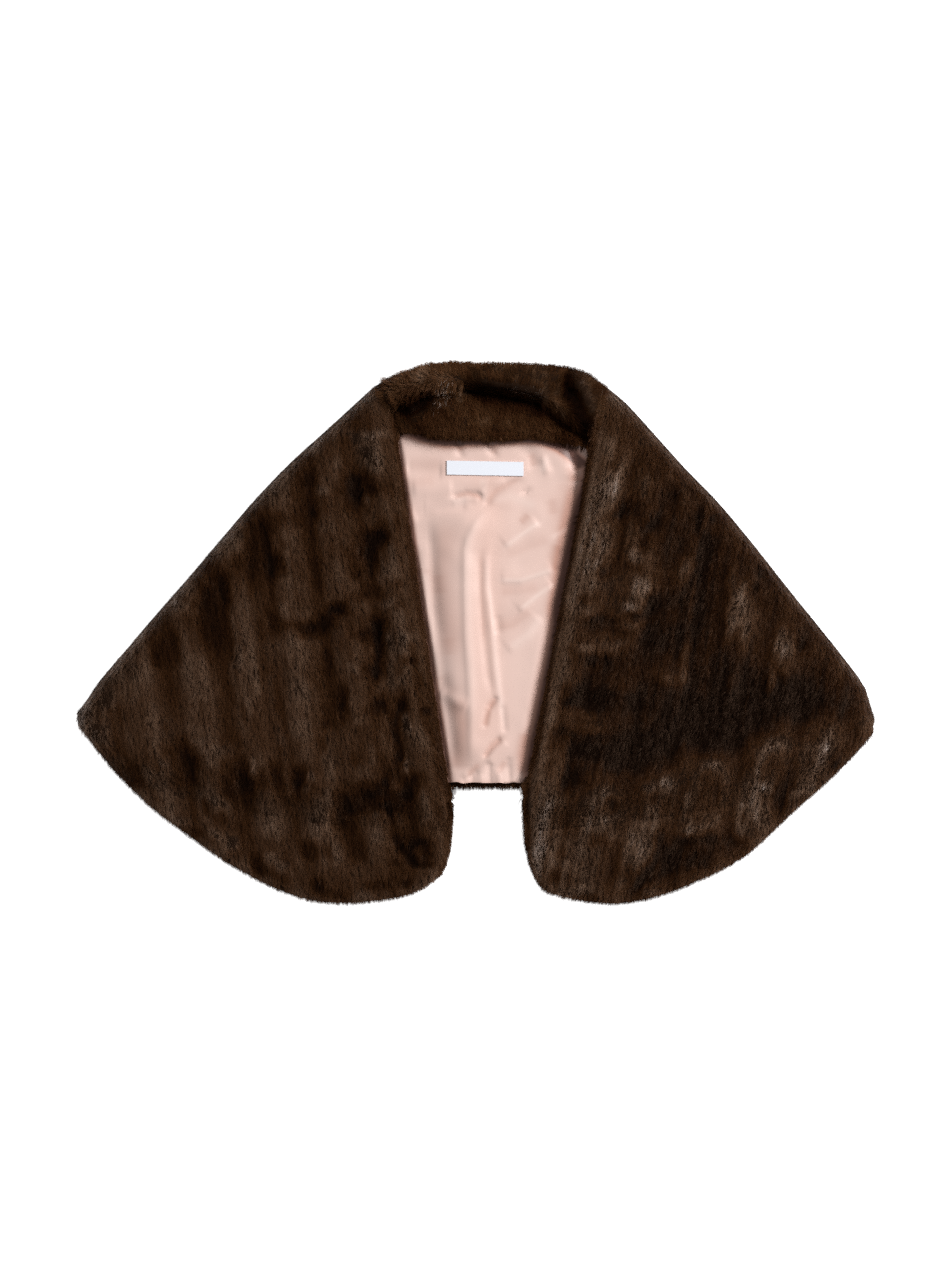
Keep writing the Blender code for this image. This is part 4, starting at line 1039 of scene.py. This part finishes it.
def planted(name, place, carried):
    """A mesh with a hair on each root. A root carries its hair's way, facing, size and shade."""
    mesh = bpy.data.meshes.new(name + " roots")
    mesh.vertices.add(len(place))
    mesh.vertices.foreach_set("co", (place * MM).ravel())
    for label, values in carried.items():
        kind, slot = ("FLOAT_VECTOR", "vector") if values.ndim == 2 else ("FLOAT", "value")
        mesh.attributes.new(label, kind, "POINT").data.foreach_set(slot, values.ravel())
    piece = put_out(name, mesh)
    piece.modifiers.new("planting", "NODES").node_group = planting
    made_final(piece)
    for label in [a.name for a in piece.data.attributes]:
        if label in ("along", "side", *carried):
            piece.data.attributes.remove(piece.data.attributes[label])
    return piece


# %% Each hair of a pile
def pile(name, node, count, wanted, lie, shade, length, rise, width, proud, seed):
    """One piece of hair on a skin. lie gives the nap in plan, rise the lift off the cloth."""
    chance = np.random.default_rng(seed)
    place, normal = roots_on(CLOTHS[node], count, wanted, chance)
    x, y = place[:, 0], place[:, 1]
    lock = locks(place, chance)
    swing = varied(0.0, x, y, seed + 1, SWING, lock, chance)
    nap = unit(np.column_stack((*lie(x, y), np.zeros(count))))
    nap = np.column_stack((
        nap[:, 0] * np.cos(swing) - nap[:, 1] * np.sin(swing),
        nap[:, 0] * np.sin(swing) + nap[:, 1] * np.cos(swing),
        nap[:, 2],
    ))
    lift = varied(rise, x, y, seed + 3, LIFT, lock, chance)
    gather = GATHER * (place[lock] - place) / length
    hair = unit(nap + normal * lift[:, None] + gather)
    low = np.sin(np.clip(LEAST_RISE * rise, 0.1, 1.0)) - (hair * normal).sum(1)
    hair = unit(hair + normal * np.maximum(low, 0.0)[:, None])
    long = length * (1.0 + chance.normal(0.0, LENGTH_CHANGE, count)).clip(SHORTEST, LONGEST)
    proud = proud * (1.0 + PROUD_CHANGE * drift(x, y, PROUD_SPOT, seed + 5))
    place = place - normal * ROOT_DEPTH
    proud = LEAST_PROUD + proud * chance.random(count) ** 1.5
    if "collar" in node:
        proud = proud + BRIDGE_REACH * np.clip(lined(x, y, BRIDGED), 0.0, 1.0)
    place = place + kept_in(place, hair, long, proud)
    tip_z = place[:, 2] + hair[:, 2] * long
    place[:, 2] += np.maximum(LOWEST_TIP - np.minimum(tip_z, place[:, 2]), 0.0)
    side = unit(np.cross(hair, normal))
    turn = chance.uniform(-TURN, TURN, count)[:, None]
    facing = unit(np.cross(side, hair)) * np.cos(turn) + side * np.sin(turn)
    seen = place + SEEN_AT * hair * long[:, None]
    tone = shade(seen[:, 0], seen[:, 1], place[:, 2], normal)
    lit = np.clip(tone - BRIGHT_FROM, 0.0, BRIGHT_MOST)
    for (least, more), shared in ((LOCK_SHADE, lock), (HAIR_SHADE, slice(None))):
        tone = tone + chance.normal(0.0, 1.0, count)[shared] * (least + more * lit)
    tone = np.clip(tone, MAP_MARGIN, 1.0 - MAP_MARGIN)
    size = np.column_stack((np.full(count, width), long, long)) * MM
    piece = planted(name, place, {"hair": hair, "facing": facing, "size": size, "shade": tone})
    piece.data.materials.clear()
    piece.data.materials.append(collar_hair if "collar" in node else front_hair)
    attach(piece, "root")
    print(name, len(piece.data.polygons), "faces")
    return piece


# %% [markdown]
# ## Which way the fur grows, and where
# On the real wrap the pile is cut off where the cloth lies face down. Hair is planted where it can
# show, and more of it on the edges beside the lining, where the fur turns over.

# %% Where each skin is furred
UNDER_EDGE, UNDER_FADE = 0.55, 0.6       # how far round an edge the hair still grows
ROUND_MORE = 1.2          # and how much denser it is where the cloth is steep
FRONT_EDGE_WIDTH, FRONT_EDGE_MORE = 5.0, 3.5    # the strip beside the lining has so much more hair
STEEP = 0.93              # where the back's cloth turns over its fold
BACK_RIM_FROM = 1.0       # height over the floor
HEM_TOP, HEM_LEFT, HEM_RIGHT = -138.0, -60.0, 85.0    # the back's hem between the fronts
HEM_MORE = 2.0            # it has so much more hair than the rim
EDGE_NAP, EDGE_NAP_WIDTH = 0.35, 7.0      # at the front edge the nap turns outwards
UNDERSIDE, SHADOW_TOP, SHADOW = 0.3, 5.0, 0.10    # near the floor the underside is darker


def seen_above(place, facing):
    """Everything but the side that lies on something, and more where the skin rounds away."""
    above = np.clip(facing[:, 2] + UNDER_EDGE, 0.0, 1.0) ** UNDER_FADE
    return above * (1.0 + ROUND_MORE - ROUND_MORE * np.abs(facing[:, 2]))


def dense_beside(edge):
    """The same, with the front edge thickest: there the fur turns over and shows against satin."""
    def wanted(place, facing):
        near = np.exp(-((from_edge(place[:, 0], place[:, 1], edge) / FRONT_EDGE_WIDTH) ** 2))
        return seen_above(place, facing) * (1.0 + FRONT_EDGE_MORE * near)

    return wanted


def back_rim(place, facing):
    """The back shows its fur only round its fold and at its hem between the fronts."""
    sides = (np.abs(facing[:, 2]) < STEEP) * (place[:, 2] > BACK_RIM_FROM)
    hem = (place[:, 1] < HEM_TOP) * (place[:, 0] > HEM_LEFT) * (place[:, 0] < HEM_RIGHT)
    return 1.0 * sides + HEM_MORE * hem * (facing[:, 2] > -0.5)


def front_maker(side, base, edge, lie, bands, patches, streaks, rim, parted):
    """The functions that give a front's nap and its shade at a place."""
    def nap(x, y):
        near = np.exp(-from_edge(x, y, edge) / EDGE_NAP_WIDTH)
        outward = EDGE_NAP * near * (1 if side == "left" else -1)
        return lie + outward, np.full(x.shape, -1.0)

    def shade(x, y, z, normal):
        tone = front_shade(x, y, base, edge, bands, patches, streaks, lie, rim, parted)
        low = smooth((SHADOW_TOP - z) / SHADOW_TOP) * (normal[:, 2] < UNDERSIDE)
        return tone - SHADOW * low

    return nap, shade


# %% The fur of the fronts
left_nap, left_shade = front_maker(
    "left", 0.37, LEFT_EDGE, LEFT_LIE, LEFT_BANDS, LEFT_PATCHES, LEFT_STREAKS, LEFT_RIM_LIGHT, 0.06
)
right_nap, right_shade = front_maker(
    "right", 0.27, RIGHT_EDGE, RIGHT_LIE, RIGHT_BANDS, RIGHT_PATCHES, RIGHT_STREAKS, RIGHT_RIM_LIGHT, 0.12
)

# layer, hairs, length, rise, width, how far the tips may stand out, seed
FRONT_LAYERS = (
    ("underfur", 147000, 8.0, 0.46, 0.55, 1.0, 11),
    ("guard_hair", 147000, 10.0, 0.35, 0.37, 2.2, 31),
)
for side, edge, nap, shade in (
    ("left", LEFT_EDGE, left_nap, left_shade), ("right", RIGHT_EDGE, right_nap, right_shade),
):
    node, wanted = side + "_front", dense_beside(edge)
    for layer, count, long, rise, width, proud, seed in FRONT_LAYERS:
        pile(
            f"{node}_{layer}", node, count, wanted, nap, shade, long, rise, width, proud, seed
        )


# %% [markdown]
# ## The collar and the rim of the back
# The collar is a strip folded along its roll: its hair runs outwards over the roll and down on the
# inner band. In two places the roll's hair hangs over the crease. The back shows only its rim.

# %% Collar and back
# across the collar: the way of the roll's nap in degrees, and how far the band's leans sideways
ROLL_TURNS = (-95, -75, -50, 0, 60, 90, 110, 124), (200, 165, 115, 90, 75, 50, 15, -20)
BAND_LEANS = (-80, -30, 60, 110), (0.4, 0.25, 0.3, -0.2)
HANGING = 1.6             # how much the hair that hides the crease turns down
GLINT_LIFT = 0.4              # a hair with a painted glint is so much brighter
# clouds, tufts and strands: strength, width, stretch down the nap
COLLAR_MARKS = ((0.05, 18.0, 1.0), (0.07, 6.0, 0.6), (0.05, 2.0, 0.7))


def roll_nap(x, y):
    """Outwards over the roll, and turning down beside the fronts at its ends."""
    angle = np.interp(x, *ROLL_TURNS)
    over = HANGING * np.clip(lined(x, y, BRIDGED), 0.0, 1.0)
    return np.cos(np.radians(angle)) + 0.1 * over, np.sin(np.radians(angle)) - over


def band_nap(x, y):
    """Down the band."""
    return np.interp(x, *BAND_LEANS), np.full(x.shape, -1.0)


def collar_shade(base, seed):
    """The function that gives the collar's shade, with painted shade and light and painted glints."""
    def shade(x, y, z, normal):
        silver = np.random.default_rng(seed).random(np.shape(x)) < lined(x, y, GLINTING_HAIRS)
        tone = base + lined(x, y, COLLAR_PAINTED_SHADE_AND_LIGHT)
        for step, (strength, width, stretch) in enumerate(COLLAR_MARKS):
            tone = tone + strength * drift(x, stretch * y, width, seed + step)
        return tone + GLINT_LIFT * silver

    return shade


def back_nap(x, y):
    """Down the back."""
    return np.zeros(x.shape), np.full(x.shape, -1.0)


def back_shade(x, y, z, normal):
    """The same brown all over, with soft clouds."""
    return 0.33 + 0.05 * drift(x, y, 14.0, 25)


# %% The fur of the collar and the back
# node, hairs, where, nap, shade, length, rise, width, how far the tips may stand out, seed
OTHER_PILES = (
    ("collar_fall", 80000, seen_above, roll_nap, collar_shade(0.46, 21), 9.5, 0.7, 0.40, 2.8, 51),
    ("collar_stand", 70000, seen_above, band_nap, collar_shade(0.41, 43), 8.5, 0.65, 0.40, 2.4, 61),
    ("back_panel", 38000, back_rim, back_nap, back_shade, 9.0, 0.6, 0.4, 3.0, 71),
)
for node, *settings in OTHER_PILES:
    pile(node + "_hair", node, *settings)
bpy.data.objects.remove(blade)


# %% [markdown]
# ## The satin lining
# Rose satin is a thin slippery weave: it slides on the back panel and gathers in soft creases
# that run from the neck down. The sheet is cut from its solid, divided fine enough for the
# creases, and each crease is laid in from a table.

# %% Satin finish
# Painted light: the satin's colour is darkened for shade and the fur's cast shadows, and lightened for
# painted sheen
SATIN_THREAD = 0.4        # drawn coarser than real floats, which wouldn't show
SATIN_CLOUDS, CLOUD_SHADE = 14.0, 0.08   # soft clouds in a metre of satin, and their strength
SATIN_DYE_AND_PAINTED_LIGHT = ((0.0, "4a261d"), (0.25, "b08474"), (0.54, "d7b9ae"), (0.8, "e8d2c8"), (1.0, "f4e4dc"))


def rose_satin():
    """Polyester satin: long floats of thread give a soft wide shine and a smooth face."""
    material, tree, shader = new_material("rose polyester satin")
    place = add(tree, "ShaderNodeTexCoord", {}).outputs["Object"]
    cloud = add(tree, "ShaderNodeTexNoise", {"Vector": place, "Scale": SATIN_CLOUDS, "Detail": 2.0})
    # painted light: the attribute turned holds each corner's painted shade, shadows and sheen
    turned = add(tree, "ShaderNodeAttribute", {}, attribute_name="turned")
    mixed = add(tree, "ShaderNodeMath", {
        0: cloud.outputs["Fac"], 1: CLOUD_SHADE, 2: turned.outputs["Fac"],
    }, operation="MULTIPLY_ADD")
    tint = add(tree, "ShaderNodeValToRGB", {"Fac": mixed.outputs[0]}, SATIN_DYE_AND_PAINTED_LIGHT)
    weave = add(tree, "ShaderNodeTexNoise", {
        "Vector": place, "Scale": 1.0 / (SATIN_THREAD * MM), "Detail": 0.0,
    })
    bump = add(tree, "ShaderNodeBump", {
        "Height": weave.outputs["Fac"], "Strength": 0.05, "Distance": 0.0001,
    })
    fill(shader, {
        "Base Color": tint.outputs["Color"], "Normal": bump.outputs["Normal"],
        "Roughness": 0.48, "Specular IOR Level": 0.4, "Sheen Weight": 0.1,
    })
    return material


# %% [markdown]
# ## Folds and creases
# Wide folds and narrow creases are soft ridges and troughs along lines, placed one by one. Cloth
# simulation would crease it elsewhere. The rows are height, half width on each side, then the line.
# A second table paints light into the satin's colour: painted shade, painted shadows of the fur
# and collar, and painted sheen along some creases.

# %% Creases
# height, half width to the left of the line and to its right, then the line
FOLDS = (
    (6.0, 22, 32, (6, 128), (-3, 100), (-10, 80), (-9, 40), (-8, 0), (-5, -40), (-3, -80), (-3, -132)),
    (-3.0, 8, 16, (-48, 112), (-44, 56), (-42, 20), (-38, -10), (-32, -50), (-25, -100), (-22, -128)),
    (1.2, 8, 10, (44, 190), (70, 182), (88, 168), (92, 150)),
    (-4.0, 12, 9, (74, 198), (94, 186), (104, 160)),
)
CREASES = (
    (1.3, 7, 4, (12, 122), (1, 108), (-7, 93), (-10, 81), (-10, 40), (-9, 0), (-6, -40), (-4, -80),
     (-4, -126)),
    (-1.1, 4, 4, (5, 78), (5, 42), (8, 0), (12, -40), (16, -58)),
    (0.9, 4, 5, (14, 88), (10.5, 71), (10.5, 42), (13, 22), (17, -4), (19, -26), (22, -58), (25, -80)),
    (-1.2, 3, 3, (9, 125), (20, 138), (34, 147), (46, 153)),
    (1.0, 4, 4, (4, 136), (16, 147), (28, 152)),
    (-1.7, 3, 3, (-24, 133), (-10, 137), (2, 136), (7, 132)),
    (1.0, 4, 4, (-24, 129), (-10, 133), (4, 131)),
    (1.2, 3, 9, (62, 108), (42, 95), (28, 85)),
    (1.2, 3, 9, (76, 63), (58, 57), (44, 52), (24, 52)),
    (1.2, 3, 9, (76, 48), (60, 37), (42, 22)),
    (1.0, 5, 10, (64, 16), (50, -2), (30, -16)),
    (-1.0, 4, 4, (21, 17), (23, 0)),
    (-2.0, 3, 3, (21, -62), (12, -73)),
    (-1.2, 3, 3, (12, -73), (9, -92)),
    (-2.2, 3, 3, (25, -102), (16, -110), (8, -121)),
    (1.1, 4, 4, (30, -106), (20, -116), (12, -126)),
    (-1.8, 3, 3, (3, -135), (-13, -145)),
    (-1.2, 3, 3, (34, -122), (21, -136)),
    (-1.0, 3, 3, (26, -70), (29, -97)),
    (1.8, 8, 7, (-50, 92), (-49, 60), (-48, 20), (-38, -20), (-34, -46)),
    (1.4, 6, 6, (-35, -56), (-20, -66), (-8, -72)),
    (1.2, 8, 8, (-62, 141), (-22, 143)),
    (-1.2, 8, 8, (-68, 160), (-32, 160)),
    (-1.2, 10, 4, (-60, 112), (-40, 122), (-8, 124)),
    (-1.2, 5, 5, (48, 141), (50, 137)),
    (1.2, 4, 4, (65, 174), (71, 156)),
    (-1.4, 4, 4, (-18, 189), (-14, 171)),
    (-1.4, 4, 4, (10, 190), (20, 171)),
    (-1.2, 8, 8, (48, 187), (57, 160)),
    (0.7, 3, 3, (-9, -136), (-10, -148)), (-0.7, 3, 3, (-3, -138), (-4, -148)),
    (0.7, 3, 3, (5, -138), (6, -148)), (-1.2, 3, 3, (13, -126), (14, -148)),
    (1.2, 3, 3, (22, -132), (24, -148)), (-1.2, 3, 3, (32, -128), (34, -148)),
)
print(len(FOLDS), "folds and", len(CREASES), "creases")

# %% Painted shade, shadows and sheen of the satin
# change of painted shade: darker for shade and the fur's cast shadows, lighter for painted
# sheen; half widths, the line
SATIN_PAINTED_LIGHT = (
    (-0.10, 14, 9, (-30, 112), (-32, 84), (-36, 56), (-34, 34), (-28, 8), (-25, -22)),
    (-0.07, 8, 6, (-38, 58), (-36, 38)), (-0.06, 7, 7, (-28, -4), (-26, -22)),
    (-0.16, 11, 7, (-22, -64), (-15, -88), (-16, -112), (-20, -134)),
    (-0.05, 9, 9, (-34, -40), (-22, -60)),
    (0.07, 5, 4, (8, 124), (-1, 106), (-8, 90), (-9, 50), (-8, 0), (-5, -50), (-4, -118)),
    (-0.05, 2.5, 2.5, (4, 78), (6, 36), (8, -10)),
    (0.09, 2.5, 2.5, (11, 78), (12, 48), (16, 18), (19, -20), (23, -56), (28, -92)),
    (-0.14, 3, 3, (20, -63), (13, -74), (9, -92)),
    (-0.12, 3, 3, (26, -102), (16, -111), (8, -122)),
    (-0.13, 2.4, 2.4, (-20, 134), (-8, 137), (1, 135), (7, 130)),
    (0.06, 4, 4, (-24, 128), (-8, 131)),
    (-0.08, 2.6, 2.6, (10, 127), (20, 139), (32, 146), (44, 152)),
    (0.07, 5, 5, (16, 130), (34, 134), (60, 124)), (0.08, 4, 4, (8, 152), (8, 128)),
    (0.11, 2, 3, (28, 84), (40, 93), (55, 104), (64, 109)),
    (-0.05, 9, 4, (30, 76), (50, 84), (72, 92)),
    (0.11, 2, 3, (24, 52), (44, 52), (60, 57), (76, 63)),
    (0.12, 2, 3, (44, 24), (60, 37), (78, 49)), (-0.06, 8, 4, (24, 40), (44, 42), (62, 44)),
    (-0.07, 7, 4, (22, 6), (36, 8), (54, 22)), (0.08, 4, 6, (34, -14), (50, -2), (64, 16)),
    (0.08, 2, 3, (74, 94), (90, 103)), (-0.08, 5, 5, (74, 132), (76, 116)),
    (-0.12, 7, 6, (80, 88), (76, 74), (78, 60)), (-0.06, 8, 8, (88, 150), (84, 120), (80, 96)),
    (-0.20, 7, 5, (101, 150), (97, 118), (88, 76), (78, 30), (70, -10), (62, -50), (55, -86),
     (49, -120), (47, -142)),
    (-0.16, 6, 5, (48, -96), (44, -118), (46, -138)),
    (-0.52, 3.5, 6, (68, 193), (84, 183), (96, 173), (106, 164)),
    (-0.20, 7, 7, (96, 164), (98, 148)), (-0.12, 3, 3, (-20, 192), (-13, 178)),
    (-0.12, 4, 4, (14, 190), (20, 176)), (-0.10, 5, 4, (54, 176), (58, 164)),
    (0.08, 3, 3, (70, 172), (65, 158)), (-0.05, 9, 9, (-66, 166), (-34, 164)),
    (-0.05, 6, 6, (-66, 146), (-40, 150)),
    (-0.14, 3, 3, (-80, 190), (-66, 196), (-50, 192), (-36, 188), (0, 187), (36, 187), (60, 190),
     (74, 188)),
    (-0.10, 2, 2, (-80, 180), (-72, 184)),
    (-0.10, 3, 3, (-80, 190), (-68, 128), (-60, 70), (-50, 10), (-40, -60), (-28, -130)),
    (-0.12, 3, 3, (-8, -138), (4, -128)), (-0.10, 3, 3, (22, -136), (29, -125)),
    (0.06, 4, 4, (-50, 70), (-46, 30), (-40, -10), (-37, -44)),
    (-0.06, 3, 3, (-62, 62), (-44, 60)), (-0.10, 2, 2, (-24, -146), (48, -146)),
    (-0.55, 2.4, 5, (114.5, 180), (98, 95), (80, 3), (64, -80), (48, -160)),
    (-0.40, 3, 3, (-78, 205), (-21, -175)),
    (-0.50, 4, 5, (-74, 195), (-60, 193), (-50, 190), (-30, 186), (5, 188), (47, 190), (66, 188),
     (82, 183), (104, 180)),
    (-0.4, 5, 6, (84, 184), (96, 175), (108, 165)), (-0.12, 4, 4, (44, 108), (52, 116)),
    (-0.09, 18, 18, (14, 165), (12, 90), (10, 0), (12, -130)),
    (-0.21, 12, 5, (96, 150), (85, 100), (79, 60), (70, 10)),
)
print(len(SATIN_PAINTED_LIGHT), "places where the satin is turned")


# %% [markdown]
# ## Laying the lining
# The part of the lining that shows is cut into small cells, and each corner is lifted by the tables.
# Near the fronts, the collar and the label the lift fades out, because they hold the satin down.

# %% Cells of the lining
SATIN_CELL = 2.1          # fine enough for the narrowest crease
# the part that is cut into cells, a little more than shows
SHOWN_LEFT, SHOWN_RIGHT = -84.0, 118.0
SHOWN_BELOW, SHOWN_ABOVE = -150.0, 236.0


def cut_in_rows(bm, faces, axis, places):
    """Cut faces across at each place, halving the heap each time so that it stays quick."""
    if not places or not faces:
        return
    half = len(places) // 2
    spot, normal = Vector((0, 0, 0)), Vector((0, 0, 0))
    spot[axis], normal[axis] = places[half] * MM, 1.0
    heap = {e for f in faces for e in f.edges} | {v for f in faces for v in f.verts} | set(faces)
    done = bmesh.ops.bisect_plane(bm, geom=list(heap), dist=1e-6, plane_co=spot, plane_no=normal)
    faces = [part for part in done["geom"] if isinstance(part, bmesh.types.BMFace)]
    below = [face for face in faces if face.calc_center_median()[axis] < spot[axis]]
    above = [face for face in faces if face.calc_center_median()[axis] >= spot[axis]]
    cut_in_rows(bm, below, axis, places[:half])
    cut_in_rows(bm, above, axis, places[half + 1:])


bm = merged("back_lining")
cut_in_rows(bm, bm.faces[:], 0, np.arange(SHOWN_LEFT, SHOWN_RIGHT, SATIN_CELL).tolist())
shown = [f for f in bm.faces if SHOWN_LEFT * MM < f.calc_center_median().x < SHOWN_RIGHT * MM]
cut_in_rows(bm, shown, 1, np.arange(SHOWN_BELOW, SHOWN_ABOVE, SATIN_CELL).tolist())
print("lining is cut into", len(bm.faces), "cells")

# %% Lift of the lining
PUFF = 2.4                # the lining stands off the back between the fronts
# over these lengths the lift fades out: at the fronts, at the hem and collar, round the label
LEFT_FADE, RIGHT_FADE, HEM_FADE, COLLAR_FADE, LABEL_FADE = 6.0, 16.0, 3.0, 10.0, 8.0
HEM_LINE, COLLAR_LINE = -149.0, 198.0
UNDER_LEFT, UNDER_RIGHT = 1.0, 0.5       # the lift starts so far under each front
RIPPLE, RIPPLE_SPOT = 0.25, 14.0
LABEL_BOX = (9.5, 161.5, 37.5, 6.9)      # the label's middle, half width and half height


def satin_lift(x, y):
    """How far the lining stands above its solid, which is nothing where the fronts lie on it."""
    left_x, right_x = (np.interp(y, *np.array(e[::-1]).T[::-1]) for e in (LEFT_EDGE, RIGHT_EDGE))
    calm = smooth((x - left_x + UNDER_LEFT) / LEFT_FADE)
    calm = calm * smooth((right_x + UNDER_RIGHT - x) / RIGHT_FADE)
    calm = calm * smooth((y - HEM_LINE) / HEM_FADE) * smooth((COLLAR_LINE - y) / COLLAR_FADE)
    at_x, at_y, half_x, half_y = LABEL_BOX
    from_label = np.maximum(np.abs(x - at_x) - half_x, np.abs(y - at_y) - half_y)
    off_label = smooth(from_label / LABEL_FADE)
    change = lined(x, y, FOLDS) + lined(x, y, CREASES) + RIPPLE * drift(x, y, RIPPLE_SPOT, 81)
    return np.maximum(PUFF + change * off_label, 0.0) * calm


print("satin in the middle stands off by", round(float(satin_lift(0.0, 0.0)), 1), "mm")

# %% Lay the lining
SATIN_TOP, SATIN_FLOOR = 11.3, 10.3      # heights of its two faces where it lies flat
PLAIN, TONE_FADE = 0.5, 0.2              # shade of satin with no painted light, and how a row of painted shade ends
HEM_SWAY, HEM_WAVE, SWAY_FADE = 1.5, 7.0, 6.0    # the hem's small waves, and how they end
SWAY_BELOW, SWAY_LEFT, SWAY_RIGHT = -138.0, -40.0, 58.0
x, y = (np.array([v.co[i] for v in bm.verts]) / MM for i in range(2))
flat = np.where(np.array([v.normal.z for v in bm.verts]) > -0.5, SATIN_TOP, SATIN_FLOOR)
rise = satin_lift(x, y)
# painted light: the table's painted shade, shadows and sheen go onto each corner as turned
turned = bm.verts.layers.float.new("turned")
painted_tones = np.clip(PLAIN + lined(x, y, SATIN_PAINTED_LIGHT, TONE_FADE), 0.0, 1.0)
hem = HEM_SWAY * drift(x, 0.0 * y, HEM_WAVE, 83) * smooth((SWAY_BELOW - y) / SWAY_FADE)
hem = hem * smooth((x - SWAY_LEFT) / SWAY_FADE) * smooth((SWAY_RIGHT - x) / SWAY_FADE)
for vertex, level, sway, tone in zip(bm.verts, flat + rise, hem, painted_tones.tolist()):
    vertex.co.z = level * MM
    vertex.co.y += float(sway) * MM
    vertex[turned] = tone
lining = piece_from(bm, "rose_lining", rose_satin())
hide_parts("back_lining")
print("lining", len(lining.data.polygons), "faces")


# %% [markdown]
# ## The label
# A woven tape with its ends turned under, sewn down at both short ends. It could be drawn anew,
# but its solid already has the true size, so a copy of it is lifted with the satin below. It
# stays bare.

# %% Label
TAPE_DYE = ((0.0, "d8dae2"), (1.0, "e2e5ec"))
TAPE_ROWS = 500.0         # of the wave node, which sets the tape's rows 0.63 mm apart
TURNED_UNDER = math.radians(40.0)        # edges sharper than this stay crisp


def woven_tape():
    """White polyester tape: a fine plain weave, matt."""
    material, tree, shader = new_material("white woven tape")
    place = add(tree, "ShaderNodeTexCoord", {}).outputs["Object"]
    rows = add(
        tree, "ShaderNodeTexWave", {"Vector": place, "Scale": TAPE_ROWS}, bands_direction="Y"
    )
    tint = add(tree, "ShaderNodeValToRGB", {"Fac": rows.outputs["Fac"]}, TAPE_DYE)
    fill(shader, {"Base Color": tint.outputs["Color"], "Roughness": 0.7})
    return material


bm = merged("neck_label")
bmesh.ops.subdivide_edges(bm, edges=bm.edges[:], cuts=1, use_grid_fill=True)
for vertex in bm.verts:
    vertex.co.z += float(satin_lift(vertex.co.x / MM, vertex.co.y / MM)) * MM
label = piece_from(bm, "bare_label", woven_tape())
label.data.set_sharp_from_angle(angle=TURNED_UNDER)
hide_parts("neck_label")
print("label", len(label.data.polygons), "faces")


# %% [markdown]
# ## The cut of each cloth
# Each skin is a sheet, cut flat before it was sewn. The table gives the width and length of each
# cut, its area, since none is a rectangle, how it lies and what lies under it. Only the width and
# length are printed.

# %% Cuts
CUTS = (
    ("back_panel", 0.780, 0.395, 0.207, "laid", ["floor"]),
    ("left_front", 0.368, 0.509, 0.115, "folded", ["back_panel_cloth", "rose_lining", "floor"]),
    ("right_front", 0.344, 0.509, 0.107, "folded", ["back_panel_cloth", "rose_lining", "floor"]),
    ("collar_fall", 0.250, 0.060, 0.0138, "folded", ["collar_stand_cloth", "floor"]),
    ("collar_stand", 0.200, 0.048, 0.0086, "folded", ["rose_lining"]),
)
for node, width, length, area, held, under in CUTS:
    cloth = CLOTHS[node]
    print(cloth.name, "is cut", width, "by", length, "m")


# %% [markdown]
# ## Floor, light and camera
# The paper floor shines a little itself, so it stays white under the wrap. One hard key light
# from the upper right draws the pile, and a weak fill opens the shadows. The camera looks down.

# %% Floor
FLOOR_HALF = 20.0         # metres, so that no low view sees its end
FLOOR_GLOW = 0.9
WHITE = (1.0, 1.0, 1.0, 1.0)
bm = bmesh.new()
bmesh.ops.create_grid(bm, x_segments=1, y_segments=1, size=FLOOR_HALF)
mesh = bpy.data.meshes.new("floor")
bm.to_mesh(mesh)
bm.free()
paper, _, paper_shader = new_material("white paper")
fill(paper_shader, {
    "Base Color": linear("fafafa"), "Emission Color": WHITE, "Emission Strength": FLOOR_GLOW,
    "Roughness": 0.9,
})
mesh.materials.append(paper)
floor = put_out("floor", mesh)
print("floor", 2 * FLOOR_HALF, "m wide")

# %% Light
# place, side and power of each softbox
LAMPS = {"key": ((2.5, 1.5, 1.8), 1.1, 175.0), "fill": ((-1.6, -0.6, 2.8), 1.8, 16.0)}
WORLD_LIGHT = 0.28


def softbox(name, place, size, power):
    """A square lamp that shines at the middle of the wrap."""
    light = bpy.data.lights.new(name, "AREA")
    light.shape, light.size, light.energy = "SQUARE", size, power
    lamp = put_out(name, light)
    lamp.location = place
    lamp.rotation_euler = (-Vector(place)).to_track_quat("-Z", "Y").to_euler()


for name, (place, size, power) in LAMPS.items():
    softbox(name, place, size, power)
world = bpy.data.worlds.new("studio")
world.use_nodes = True
fill(world.node_tree.nodes["Background"], {"Color": WHITE, "Strength": WORLD_LIGHT})
bpy.context.scene.world = world
print(len(LAMPS), "softboxes")

# %% Camera
bpy.context.scene.view_settings.view_transform = "Standard"
bpy.context.scene.cycles.use_denoising = False

VIEW_HEIGHT, LENS, SENSOR = 1.2366, 100.0, 36.0
MIDDLE_OF_PILE = 0.02     # metres over the floor
camera_data = bpy.data.cameras.new("overhead")
camera_data.lens, camera_data.sensor_width = LENS, SENSOR
camera = put_out("overhead", camera_data)
camera.location = (0.0, 0.0, MIDDLE_OF_PILE + VIEW_HEIGHT * LENS / SENSOR)
bpy.context.scene.camera = camera
print("camera", round(camera.location.z, 2), "m over the floor")


# %% [markdown]
# ## Triangle count
# The triangles of the dressed wrap are counted.

# %% Triangle count
bpy.context.view_layer.update()
total = 0
for piece in bpy.data.objects:
    if piece.type == "MESH" and piece.name not in frame["nodes"]:
        piece.data.calc_loop_triangles()
        total += len(piece.data.loop_triangles)
print("triangles shown", total)
